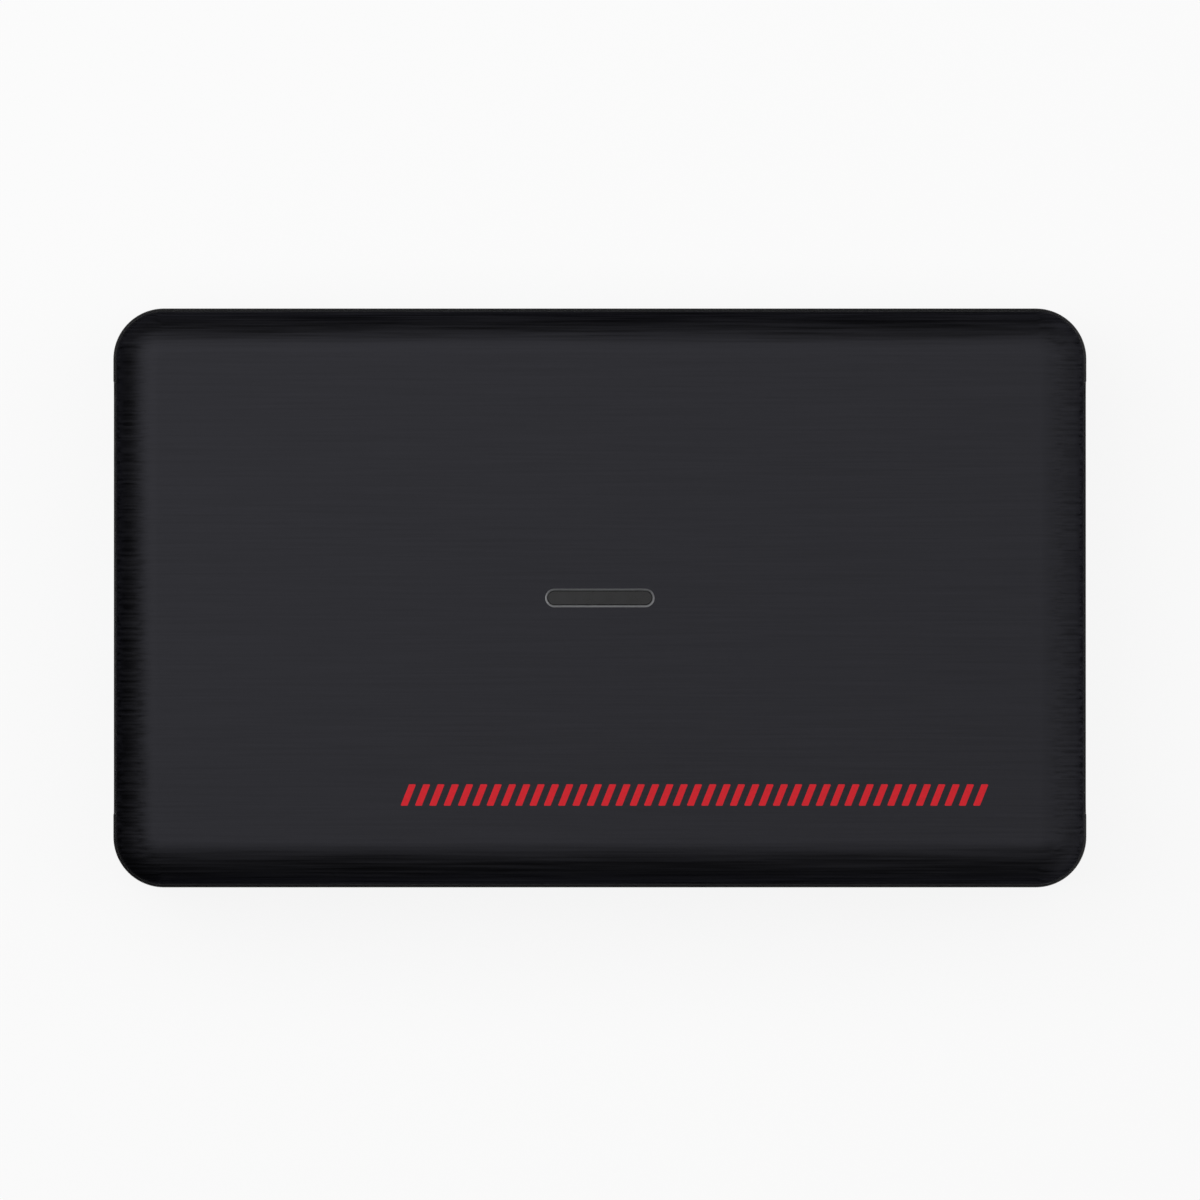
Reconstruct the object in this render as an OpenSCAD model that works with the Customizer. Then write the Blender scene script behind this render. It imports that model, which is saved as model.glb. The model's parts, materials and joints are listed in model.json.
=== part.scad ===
// Video capture box: a brushed aluminium cover on a moulded tray, around a board with its sockets and chips.
// +Z is up and X runs along the length. The origin is under the middle of the case, on the plane of the feet.
// Inputs are at the -X end, outputs at the +X end.

/* [Case] */
// Length of the case, along X
case_l = 100; // [90:0.5:120]
// Width of the case, along Y
case_w = 59.5; // [55:0.5:75]
// Height of the case without its feet
case_h = 19; // [17:0.1:24]
// Radius of the case's corners, seen from above
corner_r = 5.2; // [5:0.1:7]
// How much tighter the round edge along the cover's top is than its corners
edge_less = 0.4; // [0.2:0.1:1.5]
// Radius of the round edge along the bottom of the tray
tray_edge_r = 1.2; // [0.6:0.1:1.6]
// How far the tray stands proud of the cover, all round
cover_inset = 0.3; // [0.1:0.05:0.5]
// Side wall of the cover
cover_wall = 1.5; // [1.2:0.1:1.8]
// Roof of the cover
roof_t = 1.8; // [1.4:0.1:2.2]
// Floor of the tray
floor_t = 1.8; // [1.6:0.1:2.2]
// Corner radius inside the tray
tray_inner_r = 2; // [1:0.1:3]
// Thickness of the tray's lip that locates the cover
lip_t = 0.8; // [0.6:0.1:1.2]
// Height of that lip above the split
lip_h = 1.2; // [0.8:0.1:2]
// Gap between that lip and the cover's wall
lip_clear = 0.1; // [0.05:0.05:0.3]

/* [Case screws] */
// Outside diameter of the tray's screw bosses
boss_d = 6.4; // [6:0.1:7]
// Height of the tray's screw bosses above its floor
boss_h = 4; // [3:0.1:6]
// Outside diameter of the cover's screw posts
post_d = 5.6; // [4.6:0.1:6.2]
// Gap between a screw boss and the walls and ribs around it
boss_gap = 0.6; // [0.4:0.1:1.2]
// Thread diameter of the case screws
case_screw_d = 2.5; // [2:0.1:3]
// Length of a case screw under its head
case_screw_l = 10; // [7:0.5:12]
// Head diameter of the case screws
case_head_d = 4.4; // [4:0.1:4.8]
// Head height of the case screws
case_head_h = 1.7; // [1.4:0.1:2]
// Depth of the counterbore that hides a case screw's head
counterbore_h = 2.4; // [2.2:0.1:3]
// Gap all round a screw's head in its counterbore
head_clear = 0.2; // [0.1:0.05:0.3]
// Gap all round a screw where it passes through
hole_clear = 0.2; // [0.1:0.05:0.3]
// Gap all round a screw where its thread is cut
thread_clear = 0.02; // [0.01:0.01:0.05]
// Spare depth of a threaded hole past the screw's tip
hole_spare = 0.4; // [0.2:0.1:0.6]
// Width of the arms of a screw's cross recess
cross_w = 0.6; // [0.4:0.1:0.8]
// Depth of a screw's cross recess
cross_h = 0.9; // [0.5:0.1:1]

/* [Feet and vents] */
// Diameter of a rubber foot
foot_d = 8; // [6:0.5:10]
// How far a foot holds the case off the table
foot_h = 1; // [0.6:0.1:2]
// Depth of the recess that a foot is glued into
foot_recess = 0.6; // [0.3:0.1:0.9]
// Gap all round a foot in its recess
foot_clear = 0.1; // [0.05:0.05:0.3]
// Distance of a foot's middle from the end of the case
foot_from_end = 17; // [15:0.5:19]
// Distance of a foot's middle from the side of the case
foot_from_side = 12; // [11:0.5:15]
// Slots in each row of vents in the floor
vent_n = 9; // [3:1:9]
// Distance from one vent slot to the next
vent_pitch = 4.6; // [3.6:0.1:4.8]
// Width of a vent slot
vent_w = 1.8; // [1:0.1:2.4]
// Length of a vent slot
vent_l = 13; // [8:0.5:15]
// Distance of a row of vents from the middle line
vent_row_y = 9.5; // [9:0.5:10.5]

/* [End panels] */
// Distance of a panel's face from the side of the case
panel_margin = 7.75; // [7:0.05:8.5]
// Height of a panel's face
panel_h = 8.6; // [8:0.1:9.2]
// Corner radius of a panel's face
panel_r = 1.4; // [0.6:0.1:2]
// How far a panel's face lies behind the end of the cover
panel_recess = 0.3; // [0.1:0.05:0.8]
// How far the flange reaches past the face on each side
panel_flange = 1.2; // [0.8:0.1:1.4]
// Thickness of the flange behind the walls
panel_flange_t = 1.6; // [1.2:0.1:2]
// Gap all round a panel's face in its window
panel_clear = 0.15; // [0.1:0.05:0.3]
// Gap in front of and behind the flange
seat_clear = 0.1; // [0.08:0.01:0.15]
// Gap all round a socket in its panel
port_clear = 0.15; // [0.1:0.05:0.3]
// Thickness of the tray's rib behind the flange
rib_t = 1.2; // [0.8:0.1:1.6]
// Width of that rib
rib_w = 1.6; // [1:0.1:2]
// How far that rib ends below the split
rib_drop = 0.8; // [0.4:0.1:2]

/* [Circuit board] */
// Thickness of the board
board_t = 1.6; // [1:0.1:2]
// Height of the board's standoffs above the floor
standoff_h = 2.2; // [2:0.1:2.8]
// Diameter of the board's standoffs
standoff_d = 5; // [4:0.1:6]
// Distance of the board's screws from the end of its wide part
board_hole_end = 9.6; // [9.2:0.1:10]
// Distance of the board's screws from its long edge
board_hole_edge = 3.5; // [3:0.1:3.8]
// Gap between the board and what stands around it
board_gap = 0.5; // [0.3:0.1:0.8]
// Thread diameter of the board screws
board_screw_d = 2; // [1.6:0.1:2.2]
// Length of a board screw under its head
board_screw_l = 4; // [3:0.1:4.2]
// Head diameter of the board screws
board_head_d = 3.6; // [3:0.1:4]
// Head height of the board screws
board_head_h = 1.4; // [1.2:0.1:1.8]
// Gap between the data socket's shell and the board
shell_lift = 0.19; // [0.1:0.01:0.4]
// Gap between a part on the board and the next one
part_gap = 1.5; // [1.2:0.1:1.7]
// Gap between the parts and the board's edges
edge_gap = 1.5; // [1:0.1:2]

/* [Light pipe] */
// Length of the lit window in the cover, with its slanted edge
window_l = 11.2; // [9.4:0.1:14]
// Width of the lit window, with its slanted edge
window_w = 1.9; // [1.4:0.1:3]
// Width and depth of the slanted edge around the window
window_slant = 0.2; // [0.1:0.05:0.3]
// How far the window's lens lies below the cover's top
lens_drop = 0.1; // [0.05:0.05:0.3]
// Gap all round the lens in its slot
lens_clear = 0.06; // [0.02:0.02:0.12]
// How far the light pipe's flange reaches past the window
pipe_flange = 1.8; // [1.2:0.1:2.4]
// Thickness of that flange
pipe_flange_t = 1; // [0.6:0.1:1.6]
// Thickness of the adhesive tape over that flange
tape_t = 0.15; // [0.1:0.05:0.3]
// Length of the light pipe's stem
stem_l = 9.6; // [8.4:0.1:11]
// Width of the light pipe's stem
stem_w = 3; // [2:0.1:3.4]
// Status lamps under the light pipe
lamp_n = 3; // [1:1:3]
// Distance from one status lamp to the next
lamp_pitch = 3; // [2.4:0.1:3.4]
// Length of a status lamp
lamp_l = 1.6; // [1:0.1:2]
// Width of a status lamp
lamp_w = 0.8; // [0.6:0.1:1.2]
// Height of a status lamp
lamp_h = 0.7; // [0.6:0.1:1]
// Gap between the lamps and the light pipe
lamp_gap = 0.3; // [0.2:0.05:0.8]

/* [Video sockets] */
// Distance of the video input from the +Y end of its panel
video_in_end = 12.5; // [11.5:0.1:13.5]
// Place of the video output across its panel
video_out_y = -9; // [-10:0.1:-8]
// Width of the video socket's mouth
video_w = 14; // [13.6:0.1:14.2]
// Height of the video socket's mouth
video_h = 4.55; // [4.4:0.05:4.8]
// Size of the slanted lower corners of the mouth
video_slant = 1.95; // [1.5:0.05:2.2]
// Depth of the video socket's shell
video_l = 11.5; // [11.2:0.1:12.5]
// Width of the video socket's tongue
video_tongue_w = 11; // [10.6:0.1:11.4]
// Thickness of the video socket's tongue
video_tongue_t = 1.2; // [0.9:0.05:1.4]
// Height of that tongue above the middle of the mouth
video_tongue_up = 0.4; // [0.2:0.05:0.5]
// How far that tongue ends behind the mouth
video_tongue_back = 1.6; // [1:0.1:2.4]
// Contacts in the upper row, and one fewer in the lower
video_contacts_n = 10; // [6:1:10]
// Distance from one contact to the next in a row
video_pitch = 1; // [0.9:0.01:1.05]
// Width of a video contact
video_contact_w = 0.4; // [0.3:0.02:0.44]

/* [Data socket] */
// Distance of the data socket from the +Y end of its panel
data_end = 12.5; // [11.5:0.1:13.5]
// Width of the data socket's mouth
data_w = 12.5; // [12.3:0.05:12.8]
// Height of the data socket's mouth
data_h = 5.12; // [5:0.02:5.3]
// Depth of the data socket's shell
data_l = 14; // [13:0.1:14.6]
// Width of the data socket's tongue
data_tongue_w = 11.1; // [10.8:0.1:11.6]
// Thickness of the data socket's tongue
data_tongue_t = 1.84; // [1.5:0.02:2]
// Height of that tongue above the middle of the mouth
data_tongue_up = 0.9; // [0.6:0.05:1]
// How far that tongue ends behind the mouth
data_tongue_back = 1.6; // [1:0.1:2.4]
// Distance from one contact to the next of its kind
data_pitch = 2.35; // [2.2:0.05:2.4]
// Width of the four broad contacts
data_broad_w = 1; // [0.8:0.05:1.2]
// Width of the five narrow contacts
data_narrow_w = 0.6; // [0.4:0.05:0.7]

/* [Socket details] */
// Sheet thickness of the sockets' shells
shell_t = 0.35; // [0.3:0.05:0.4]
// Length of the block at the back of a socket that holds the contacts
socket_block_l = 3.4; // [2.4:0.1:4.5]
// Gap between a socket's block and its shell
socket_clear = 0.05; // [0.02:0.01:0.1]
// Thickness of a contact
contact_t = 0.15; // [0.1:0.01:0.2]
// Gap around a contact in its channel
contact_clear = 0.02; // [0.01:0.01:0.03]
// How far a contact starts behind its tongue's front
contact_back = 0.4; // [0.2:0.1:0.8]
// Length of a contact's foot on the board
contact_foot = 0.8; // [0.5:0.1:0.85]
// Gap between the back of a socket and its contacts' tails
tail_gap = 0.3; // [0.2:0.05:0.5]
// Distance from one row's tails to the other's
tail_step = 1; // [0.9:0.05:1.2]
// Width of a shell's solder leg
leg_w = 1.4; // [1:0.1:1.8]
// Distance of the front legs behind the mouth
leg_front = 5.4; // [5:0.1:6]
// Distance from the front legs to the rear ones
leg_span = 4.4; // [4:0.1:5]
// How far a leg reaches below the board
leg_below = 0.5; // [0.2:0.1:0.8]
// Gap around a leg in its slot in the board
leg_clear = 0.15; // [0.1:0.05:0.3]

/* [Audio jacks] */
// Place of the microphone jack across its panel
mic_y = -4.5; // [-5:0.1:-4]
// Place of the headphone jack across its panel
headphone_y = -14; // [-14.5:0.1:-13.5]
// Width of a jack's body
jack_w = 7; // [6.6:0.1:7.6]
// Height of a jack's body above its axis
jack_up = 3.1; // [2.8:0.1:3.5]
// Depth of a jack's body
jack_l = 12; // [11.6:0.1:12.6]
// Diameter of a jack's nose in the panel
nose_d = 6; // [5.8:0.1:6.2]
// How far the nose ends behind the panel's face
nose_back = 0.2; // [0.1:0.05:0.6]
// Outside diameter of a jack's ferrule
ferrule_d = 4.9; // [4.6:0.1:5.1]
// Bore of a jack's ferrule, which guides a 3.5 mm plug
jack_bore = 3.6; // [3.55:0.01:3.7]
// Length of a jack's ferrule
ferrule_l = 3.6; // [3:0.1:4.5]
// Gap around the ferrule in the nose
ferrule_clear = 0.03; // [0.01:0.01:0.05]
// Wall behind the end of a jack's bore
jack_end_wall = 0.8; // [0.5:0.1:1.2]
// Gap between a jack's body and the panel
jack_gap = 0.2; // [0.1:0.05:0.4]
// How much wider than the bore the chamber behind the ferrule is, on each side
jack_relief = 0.4; // [0.3:0.05:0.5]
// Width of a jack's contact spring
spring_w = 1.4; // [1:0.1:1.6]
// Thickness of a jack's contact spring
spring_t = 0.3; // [0.2:0.05:0.4]
// Gap around a spring in its slot
spring_clear = 0.1; // [0.05:0.05:0.15]
// How far a spring rises above the jack's axis
spring_up = 1; // [0.5:0.1:1.5]
// Distance of the first spring behind the mouth
spring_first = 6.2; // [6:0.1:6.4]
// Distance from one spring to the next
spring_pitch = 3; // [2.6:0.1:3]

/* [Processor and heat sink] */
// Place of the capture processor along X
processor_x = -18.5; // [-19:0.1:-18]
// Width and length of the capture processor
processor_w = 15; // [13:0.5:16]
// Height of the capture processor
processor_h = 1.4; // [1:0.1:1.6]
// Thickness of the thermal pad
pad_t = 0.5; // [0.3:0.1:0.8]
// Width and length of the heat sink
sink_w = 19; // [17:0.5:19.5]
// Thickness of the heat sink's base
sink_base = 2; // [1.5:0.1:2.4]
// Gap between the heat sink's fins and the cover's roof
sink_gap = 1.7; // [1.2:0.1:4]
// Thickness of a fin
sink_fin_t = 1; // [0.6:0.1:1.4]
// Fins on the heat sink
sink_fins = 7; // [4:1:8]

/* [Chips] */
// Gap between a leaded chip's body and the board
chip_lift = 0.1; // [0.05:0.05:0.2]
// Width of a chip's lead
lead_w = 0.25; // [0.2:0.01:0.3]
// Thickness of a chip's lead
lead_t = 0.15; // [0.1:0.01:0.2]
// Length of a lead's foot
lead_foot = 0.5; // [0.3:0.05:0.6]
// How far a lead comes out before it turns down
lead_out = 0.4; // [0.3:0.05:0.5]
// Width and length of the video receiver
receiver_w = 10; // [9.4:0.1:10.4]
// Height of the video receiver
receiver_h = 1.4; // [1:0.1:2]
// Leads on each side of the video receiver
receiver_leads_n = 18; // [8:1:18]
// Distance from one of its leads to the next
receiver_pitch = 0.5; // [0.4:0.01:0.52]
// Length of the flash memory
flash_l = 4.9; // [4.6:0.1:5.4]
// Width of the flash memory
flash_w = 3.9; // [3.5:0.1:5]
// Height of the flash memory
flash_h = 1.5; // [1:0.1:2]
// Leads on each long side of the flash memory
flash_leads_n = 4; // [3:1:4]
// Distance from one of its leads to the next
flash_pitch = 1.27; // [1:0.01:1.4]
// Width and length of the bus bridge
bridge_w = 11; // [9:0.1:12]
// Height of the bus bridge
bridge_h = 1.2; // [0.8:0.1:2]
// Length of a memory chip
memory_l = 12.5; // [10:0.1:13]
// Width of a memory chip
memory_w = 8.5; // [7.5:0.1:9]
// Height of a memory chip
memory_h = 1.1; // [0.8:0.1:1.6]
// Width and length of the loop-out splitter
splitter_w = 9; // [7:0.1:9.6]
// Height of the loop-out splitter
splitter_h = 0.9; // [0.7:0.1:1.6]
// Width and length of the audio codec
codec_w = 4; // [3:0.1:4.4]
// Height of the audio codec
codec_h = 0.9; // [0.7:0.1:1.4]

/* [Power parts] */
// Length of a voltage regulator
regulator_l = 6.5; // [6:0.1:7]
// Width of a voltage regulator
regulator_w = 3.5; // [3.2:0.1:4]
// Height of a voltage regulator
regulator_h = 1.6; // [1.2:0.1:2]
// Distance from one of its leads to the next
regulator_pitch = 2.3; // [2:0.05:2.4]
// Width of its broad tab
regulator_tab_w = 3; // [2.6:0.1:3.4]
// Width of its leads
regulator_lead_w = 0.7; // [0.5:0.05:0.9]
// Width and length of a power inductor
inductor_w = 5; // [4:0.1:5.4]
// Height of a power inductor
inductor_h = 2.8; // [2:0.1:4]
// Cut-off corners of a power inductor
inductor_cut = 1; // [0.5:0.1:1.4]
// Diameter of a bulk capacitor's can
bulk_d = 5; // [4:0.1:5.2]
// Height of a bulk capacitor's can
bulk_h = 5.4; // [4:0.1:6.4]
// Width of the base under that can
bulk_base_w = 5.3; // [5.2:0.1:5.6]
// Thickness of the base under that can
bulk_base_t = 0.9; // [0.6:0.1:1.2]
// Length of a crystal
crystal_l = 5; // [4.4:0.1:5.4]
// Width of a crystal
crystal_w = 3.2; // [2.5:0.1:3.6]
// Height of a crystal
crystal_h = 1.2; // [0.8:0.1:1.6]

/* [Small parts] */
// Line filters behind each video socket
filter_n = 4; // [2:1:4]
// Distance from one line filter to the next
filter_pitch = 3; // [2:0.1:3.2]
// Length of a line filter
filter_l = 2; // [1.6:0.1:2.2]
// Width of a line filter
filter_w = 1.2; // [0.8:0.1:1.4]
// Height of a line filter
filter_h = 0.9; // [0.6:0.1:1.4]
// Length of a surge array
surge_l = 2.4; // [2:0.1:2.8]
// Width of a surge array
surge_w = 1; // [0.8:0.1:1.2]
// Height of a surge array
surge_h = 0.6; // [0.4:0.1:1]
// Length of a capacitor or resistor
small_l = 1.6; // [1.2:0.1:1.8]
// Width of a capacitor or resistor
small_w = 0.8; // [0.5:0.1:1]
// Height of a capacitor
ceramic_h = 0.8; // [0.5:0.1:1]
// Height of a resistor
resistor_h = 0.45; // [0.3:0.05:0.6]
// Distance from one capacitor or resistor to the next in its row
small_pitch = 2.4; // [1.6:0.1:2.4]

/* [Hidden] */
$fn = 64;
cut = 0.5; // how far a cutting shape passes the face that it cuts

// Heights, from the table up
tray_z = foot_h;
floor_z = tray_z + floor_t;
board_z = floor_z + standoff_h;
board_top = board_z + board_t;
port_axis_h = data_h / 2 + shell_t + shell_lift; // height of the sockets' middle above the board
port_z = board_top + port_axis_h;
split_z = port_z; // the case parts at the sockets' middle
top_z = tray_z + case_h;
roof_z = top_z - roof_t;
boss_z = floor_z + boss_h; // where a tray boss meets a cover post
case_head_z = tray_z + counterbore_h; // the face that a case screw's head bears on
case_hole_z = case_head_z + case_screw_l + hole_spare; // where a case screw's thread ends

// Half sizes of the case, its cover and the spaces in them
cover_x = case_l / 2 - cover_inset;
cover_y = case_w / 2 - cover_inset;
cover_r = corner_r - cover_inset;
edge_r = cover_r - edge_less; // the round edge along the cover's top
inner_r = cover_r - cover_wall;
inner_x = cover_x - cover_wall;
inner_y = cover_y - cover_wall;
tray_inner_y = inner_y - lip_clear - lip_t;
slot_l = window_l - 2 * window_slant; // the lens's slot below the slanted edge
slot_w = window_w - 2 * window_slant;
foot_x = case_l / 2 - foot_from_end;
foot_y = case_w / 2 - foot_from_side;

// Places along X, from the end panels inwards
port_x = cover_x - panel_recess; // the panels' faces and the sockets' mouths
flange_front = inner_x - seat_clear;
flange_back = flange_front - panel_flange_t;
rib_front = flange_back - seat_clear;
rib_back = rib_front - rib_t;
panel_w = case_w - 2 * panel_margin;
flange_y = panel_w / 2 + panel_flange;
post_x = rib_back - boss_gap - boss_d / 2;
post_y = tray_inner_y - boss_gap - boss_d / 2;

// The board: a wide middle, and a narrower tongue to each panel
board_x = post_x - boss_d / 2 - board_gap;
board_y = tray_inner_y - board_gap;
board_end = flange_back - board_gap;
board_end_y = post_y - boss_d / 2 - board_gap;
board_hole_x = board_x - board_hole_end;
board_hole_y = board_y - board_hole_edge;

// Sockets, in a frame with its origin at the mouth and +X out of the panel
port_board = -port_axis_h;
video_in_y = panel_w / 2 - video_in_end;
data_y = panel_w / 2 - data_end;
video_floor = -video_h / 2;
data_floor = -data_h / 2;
tail_l = tail_gap + tail_step + contact_foot; // how far the contacts reach behind a shell

function row_places(n, pitch) = [for (i = [0:n - 1]) (i - (n - 1) / 2) * pitch];

// Each row of contacts: its places across, a strip's width and height, and where its tail bends down
video_over = video_tongue_up + video_tongue_t / 2;
video_under = video_tongue_up - video_tongue_t / 2 - contact_t;
video_rows = [
    [row_places(video_contacts_n, video_pitch), video_contact_w, video_over, -video_l - tail_gap - tail_step],
    [row_places(video_contacts_n - 1, video_pitch), video_contact_w, video_under, -video_l - tail_gap]
];
data_under = data_tongue_up - data_tongue_t / 2 - contact_t;
data_rows = [
    [row_places(4, data_pitch), data_broad_w, data_under, -data_l - tail_gap],
    [row_places(5, data_pitch), data_narrow_w, data_under, -data_l - tail_gap - tail_step]
];

// Jacks, in the same frame
jack_front = flange_back - jack_gap - port_x;
jack_end = jack_front - jack_l;
spring_in = jack_bore / 2 + spring_clear; // from the axis to a spring's inner face
chamber_w = jack_bore + 2 * jack_relief; // the square chamber behind a jack's ferrule
spring_sides = [0, 1, 0]; // the springs stand on alternate sides of the bore

// Parts behind the sockets, from each end inwards
video_back = port_x - video_l - tail_l;
data_back = port_x - data_l - tail_l;
jack_back = port_x + jack_end;
lead_reach = lead_out + lead_foot;
filter_x = video_back - part_gap - filter_l / 2;
surge_x = filter_x - filter_l / 2 - part_gap - surge_w / 2;
receiver_x = -surge_x + surge_w / 2 + part_gap + lead_reach + receiver_w / 2;
splitter_x = filter_x - filter_l / 2 - part_gap - splitter_w / 2;
data_crystal_x = data_back - part_gap - crystal_l / 2;
bridge_x = data_crystal_x - crystal_l / 2 - part_gap - bridge_w / 2;
jack_surge_x = jack_back - part_gap - surge_w / 2;

// The row of power parts along the board's +Y edge, and the corners of the board
power_row_l = 3 * inductor_w + bulk_base_w + 2 * regulator_l + 5 * part_gap;
inductor_x = inductor_w / 2 - power_row_l / 2;
row_bulk_x = inductor_x + inductor_w / 2 + part_gap + bulk_base_w / 2;
inductor_2_x = row_bulk_x + bulk_base_w / 2 + part_gap + inductor_w / 2;
inductor_3_x = inductor_2_x + inductor_w + part_gap;
regulator_x = inductor_3_x + inductor_w / 2 + part_gap + regulator_l / 2;
regulator_step = regulator_l + part_gap;
bulk_x = board_x - edge_gap - bulk_base_w / 2;
bulk_y = board_y - edge_gap - bulk_base_w / 2;
inductor_y = board_y - edge_gap - inductor_w / 2;
regulator_y = board_y - edge_gap - lead_reach - regulator_w / 2;
power_edge = regulator_y - regulator_w / 2 - lead_reach; // the side of the row that faces the middle
codec_x = board_x - edge_gap - codec_w / 2;
codec_y = board_y - edge_gap - codec_w / 2;

// Chips from that row towards the board's -Y edge, and the memory chips from that edge
receiver_y = power_edge - part_gap - lead_reach - receiver_w / 2;
flash_y = receiver_y;
processor_y = receiver_y - receiver_w / 2 - lead_reach - 2 * part_gap - small_l - sink_w / 2;
memory_y = edge_gap + small_l + part_gap + memory_l / 2 - board_y;

// Parts around the processor
sink_edge = processor_x + sink_w / 2;
sink_h = roof_z - sink_gap - board_top - processor_h - pad_t;
memory_x = sink_edge + 2 * part_gap + small_l + memory_w / 2;
memory_step = memory_w + 2 * part_gap;
memory_edge = memory_x + memory_step + memory_w / 2;
crystal_x = sink_edge + part_gap + crystal_l / 2;
crystal_y = stem_w / 2 + part_gap + crystal_w / 2;

// Places of the parts that repeat
memory_places = [for (i = [0, 1]) [memory_x + i * memory_step, memory_y]];
regulator_places = [for (i = [0, 1]) [regulator_x + i * regulator_step, regulator_y]];
inductor_places = [
    [inductor_x, inductor_y], [inductor_2_x, inductor_y], [inductor_3_x, inductor_y]
];
bulk_places = [[row_bulk_x, bulk_y], [bulk_x, bulk_y], [bulk_x, -bulk_y]];
crystal_places = [[crystal_x, crystal_y], [data_crystal_x, data_y + bridge_w / 4]];
filter_places = [
    for (y = row_places(filter_n, filter_pitch))
        each [[-filter_x, video_in_y + y], [filter_x, video_out_y + y]]
];
surge_places = [
    [-surge_x, video_in_y - filter_pitch], [-surge_x, video_in_y + filter_pitch],
    [-jack_surge_x, (mic_y + headphone_y) / 2], [-jack_surge_x, mic_y]
];

// Rows of small parts: their middle, their count, and whether they run along X (0) or Y (1)
small_reach = part_gap + small_l / 2; // from a part's edge to the middle of a row beside it
ceramic_rows = [
    [[processor_x, processor_y + sink_w / 2 + small_reach], 7, 0],
    [[processor_x, processor_y - sink_w / 2 - small_reach], 7, 0],
    [[bridge_x - bridge_w / 2 - small_reach, data_y], 5, 1],
    [[sink_edge + small_reach, memory_y], 5, 1],
    [[memory_x + memory_step, -board_y + edge_gap + small_l / 2], 4, 0]
];
resistor_rows = [
    [[receiver_x + receiver_w / 2 + lead_reach + small_reach, receiver_y], 4, 1],
    [[flash_l / 2 + small_reach, flash_y - flash_w], 4, 1],
    [[splitter_x, video_out_y + splitter_w / 2 + small_reach], 4, 0],
    [[memory_edge + 2 * part_gap + small_pitch, video_out_y - splitter_w / 2 - small_reach], 3, 0],
    [[-jack_back + small_reach, headphone_y], 2, 1],
    [[-board_x + edge_gap + small_l / 2, bulk_y - small_w], 2, 1]
];

// Places that repeat

module at_corners(x, y) {
    for (sx = [-1, 1], sy = [-1, 1]) translate([sx * x, sy * y, 0]) children();
}

module at_output(y) {
    translate([port_x, y, port_z]) children();
}

module at_input(y) {
    translate([-port_x, y, port_z]) rotate([0, 0, 180]) children();
}

module on_board(places) {
    for (place = places) translate([place[0], place[1], board_top]) children();
}

// Outlines and solids that repeat

module quarter_disc(r) {
    intersection() {
        circle(r);
        square(r);
    }
}

module round_rect(l, w, r) {
    square([l - 2 * r, w], center = true);
    for (s = [0, 1]) mirror([s, 0]) {
        translate([l / 2 - r, r - w / 2]) square([r, w - 2 * r]);
        for (t = [0, 1]) mirror([0, t]) translate([l / 2 - r, w / 2 - r]) quarter_disc(r);
    }
}

module pill(l, w) {
    square([l - w, w], center = true);
    for (s = [0, 1], t = [0, 1]) mirror([s, 0]) mirror([0, t])
        translate([(l - w) / 2, 0]) quarter_disc(w / 2);
}

// A pill that widens by h on all sides from z = 0 to h
module flare(l, w, h) {
    half = (l - w) / 2;
    translate([-half, 0, 0]) along_x(2 * half)
        polygon([[-w / 2, 0], [w / 2, 0], [w / 2 + h, h], [-w / 2 - h, h]]);
    for (s = [0, 1], t = [0, 1]) mirror([s, 0, 0]) mirror([0, t, 0]) translate([half, 0, 0])
        rotate_extrude(angle = 90) polygon([[0, 0], [w / 2, 0], [w / 2 + h, h], [0, h]]);
}

// An outline in Y and Z, swept along +X
module along_x(len) {
    rotate([90, 0, 90]) linear_extrude(len) children();
}

// An outline in X and Z, swept along Y to both sides
module along_y(len) {
    rotate([90, 0, 0]) linear_extrude(len, center = true) children();
}

// Section from 0 to reach and from z0 to z1, with its upper outer edge rounded
module soft_section(reach, e, z0, z1) {
    translate([0, z0]) square([reach, z1 - e - z0]);
    translate([0, z1 - e]) square([reach - e, e]);
    translate([reach - e, z1 - e]) quarter_disc(e);
}

// A slab with round corners in plan and a round edge along its top, made of four like quarters
module soft_slab(l, w, r, e, z0, z1) {
    x = l / 2 - r;
    y = w / 2 - r;
    for (sx = [0, 1], sy = [0, 1]) mirror([sx, 0, 0]) mirror([0, sy, 0]) {
        along_x(x) soft_section(w / 2, e, z0, z1);
        translate([x, 0, 0]) mirror([0, 1, 0]) rotate([90, 0, 0])
            linear_extrude(y) soft_section(r, e, z0, z1);
        translate([x, y, 0]) rotate_extrude(angle = 90) soft_section(r, e, z0, z1);
    }
}

// A block that stands on z = 0, centred in plan
module block(l, w, h) {
    translate([-l / 2, -w / 2, 0]) cube([l, w, h]);
}

// A pan-head screw with its bearing face at z = 0 and its thread up +Z
module screw(d, l, head_d, head_h) {
    difference() {
        union() {
            cylinder(d = d, h = l);
            translate([0, 0, -head_h]) cylinder(d = head_d, h = head_h);
        }
        for (a = [0, 90]) rotate([0, 0, a]) translate([0, 0, -head_h - cut]) block(d, cross_w, cross_h + cut);
    }
}

// Case

module end_windows() {
    for (s = [0, 1]) mirror([s, 0, 0]) translate([inner_x - cut, 0, port_z])
        along_x(case_l / 2 - inner_x + 2 * cut)
            round_rect(panel_w + 2 * panel_clear, panel_h + 2 * panel_clear, panel_r + panel_clear);
}

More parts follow.
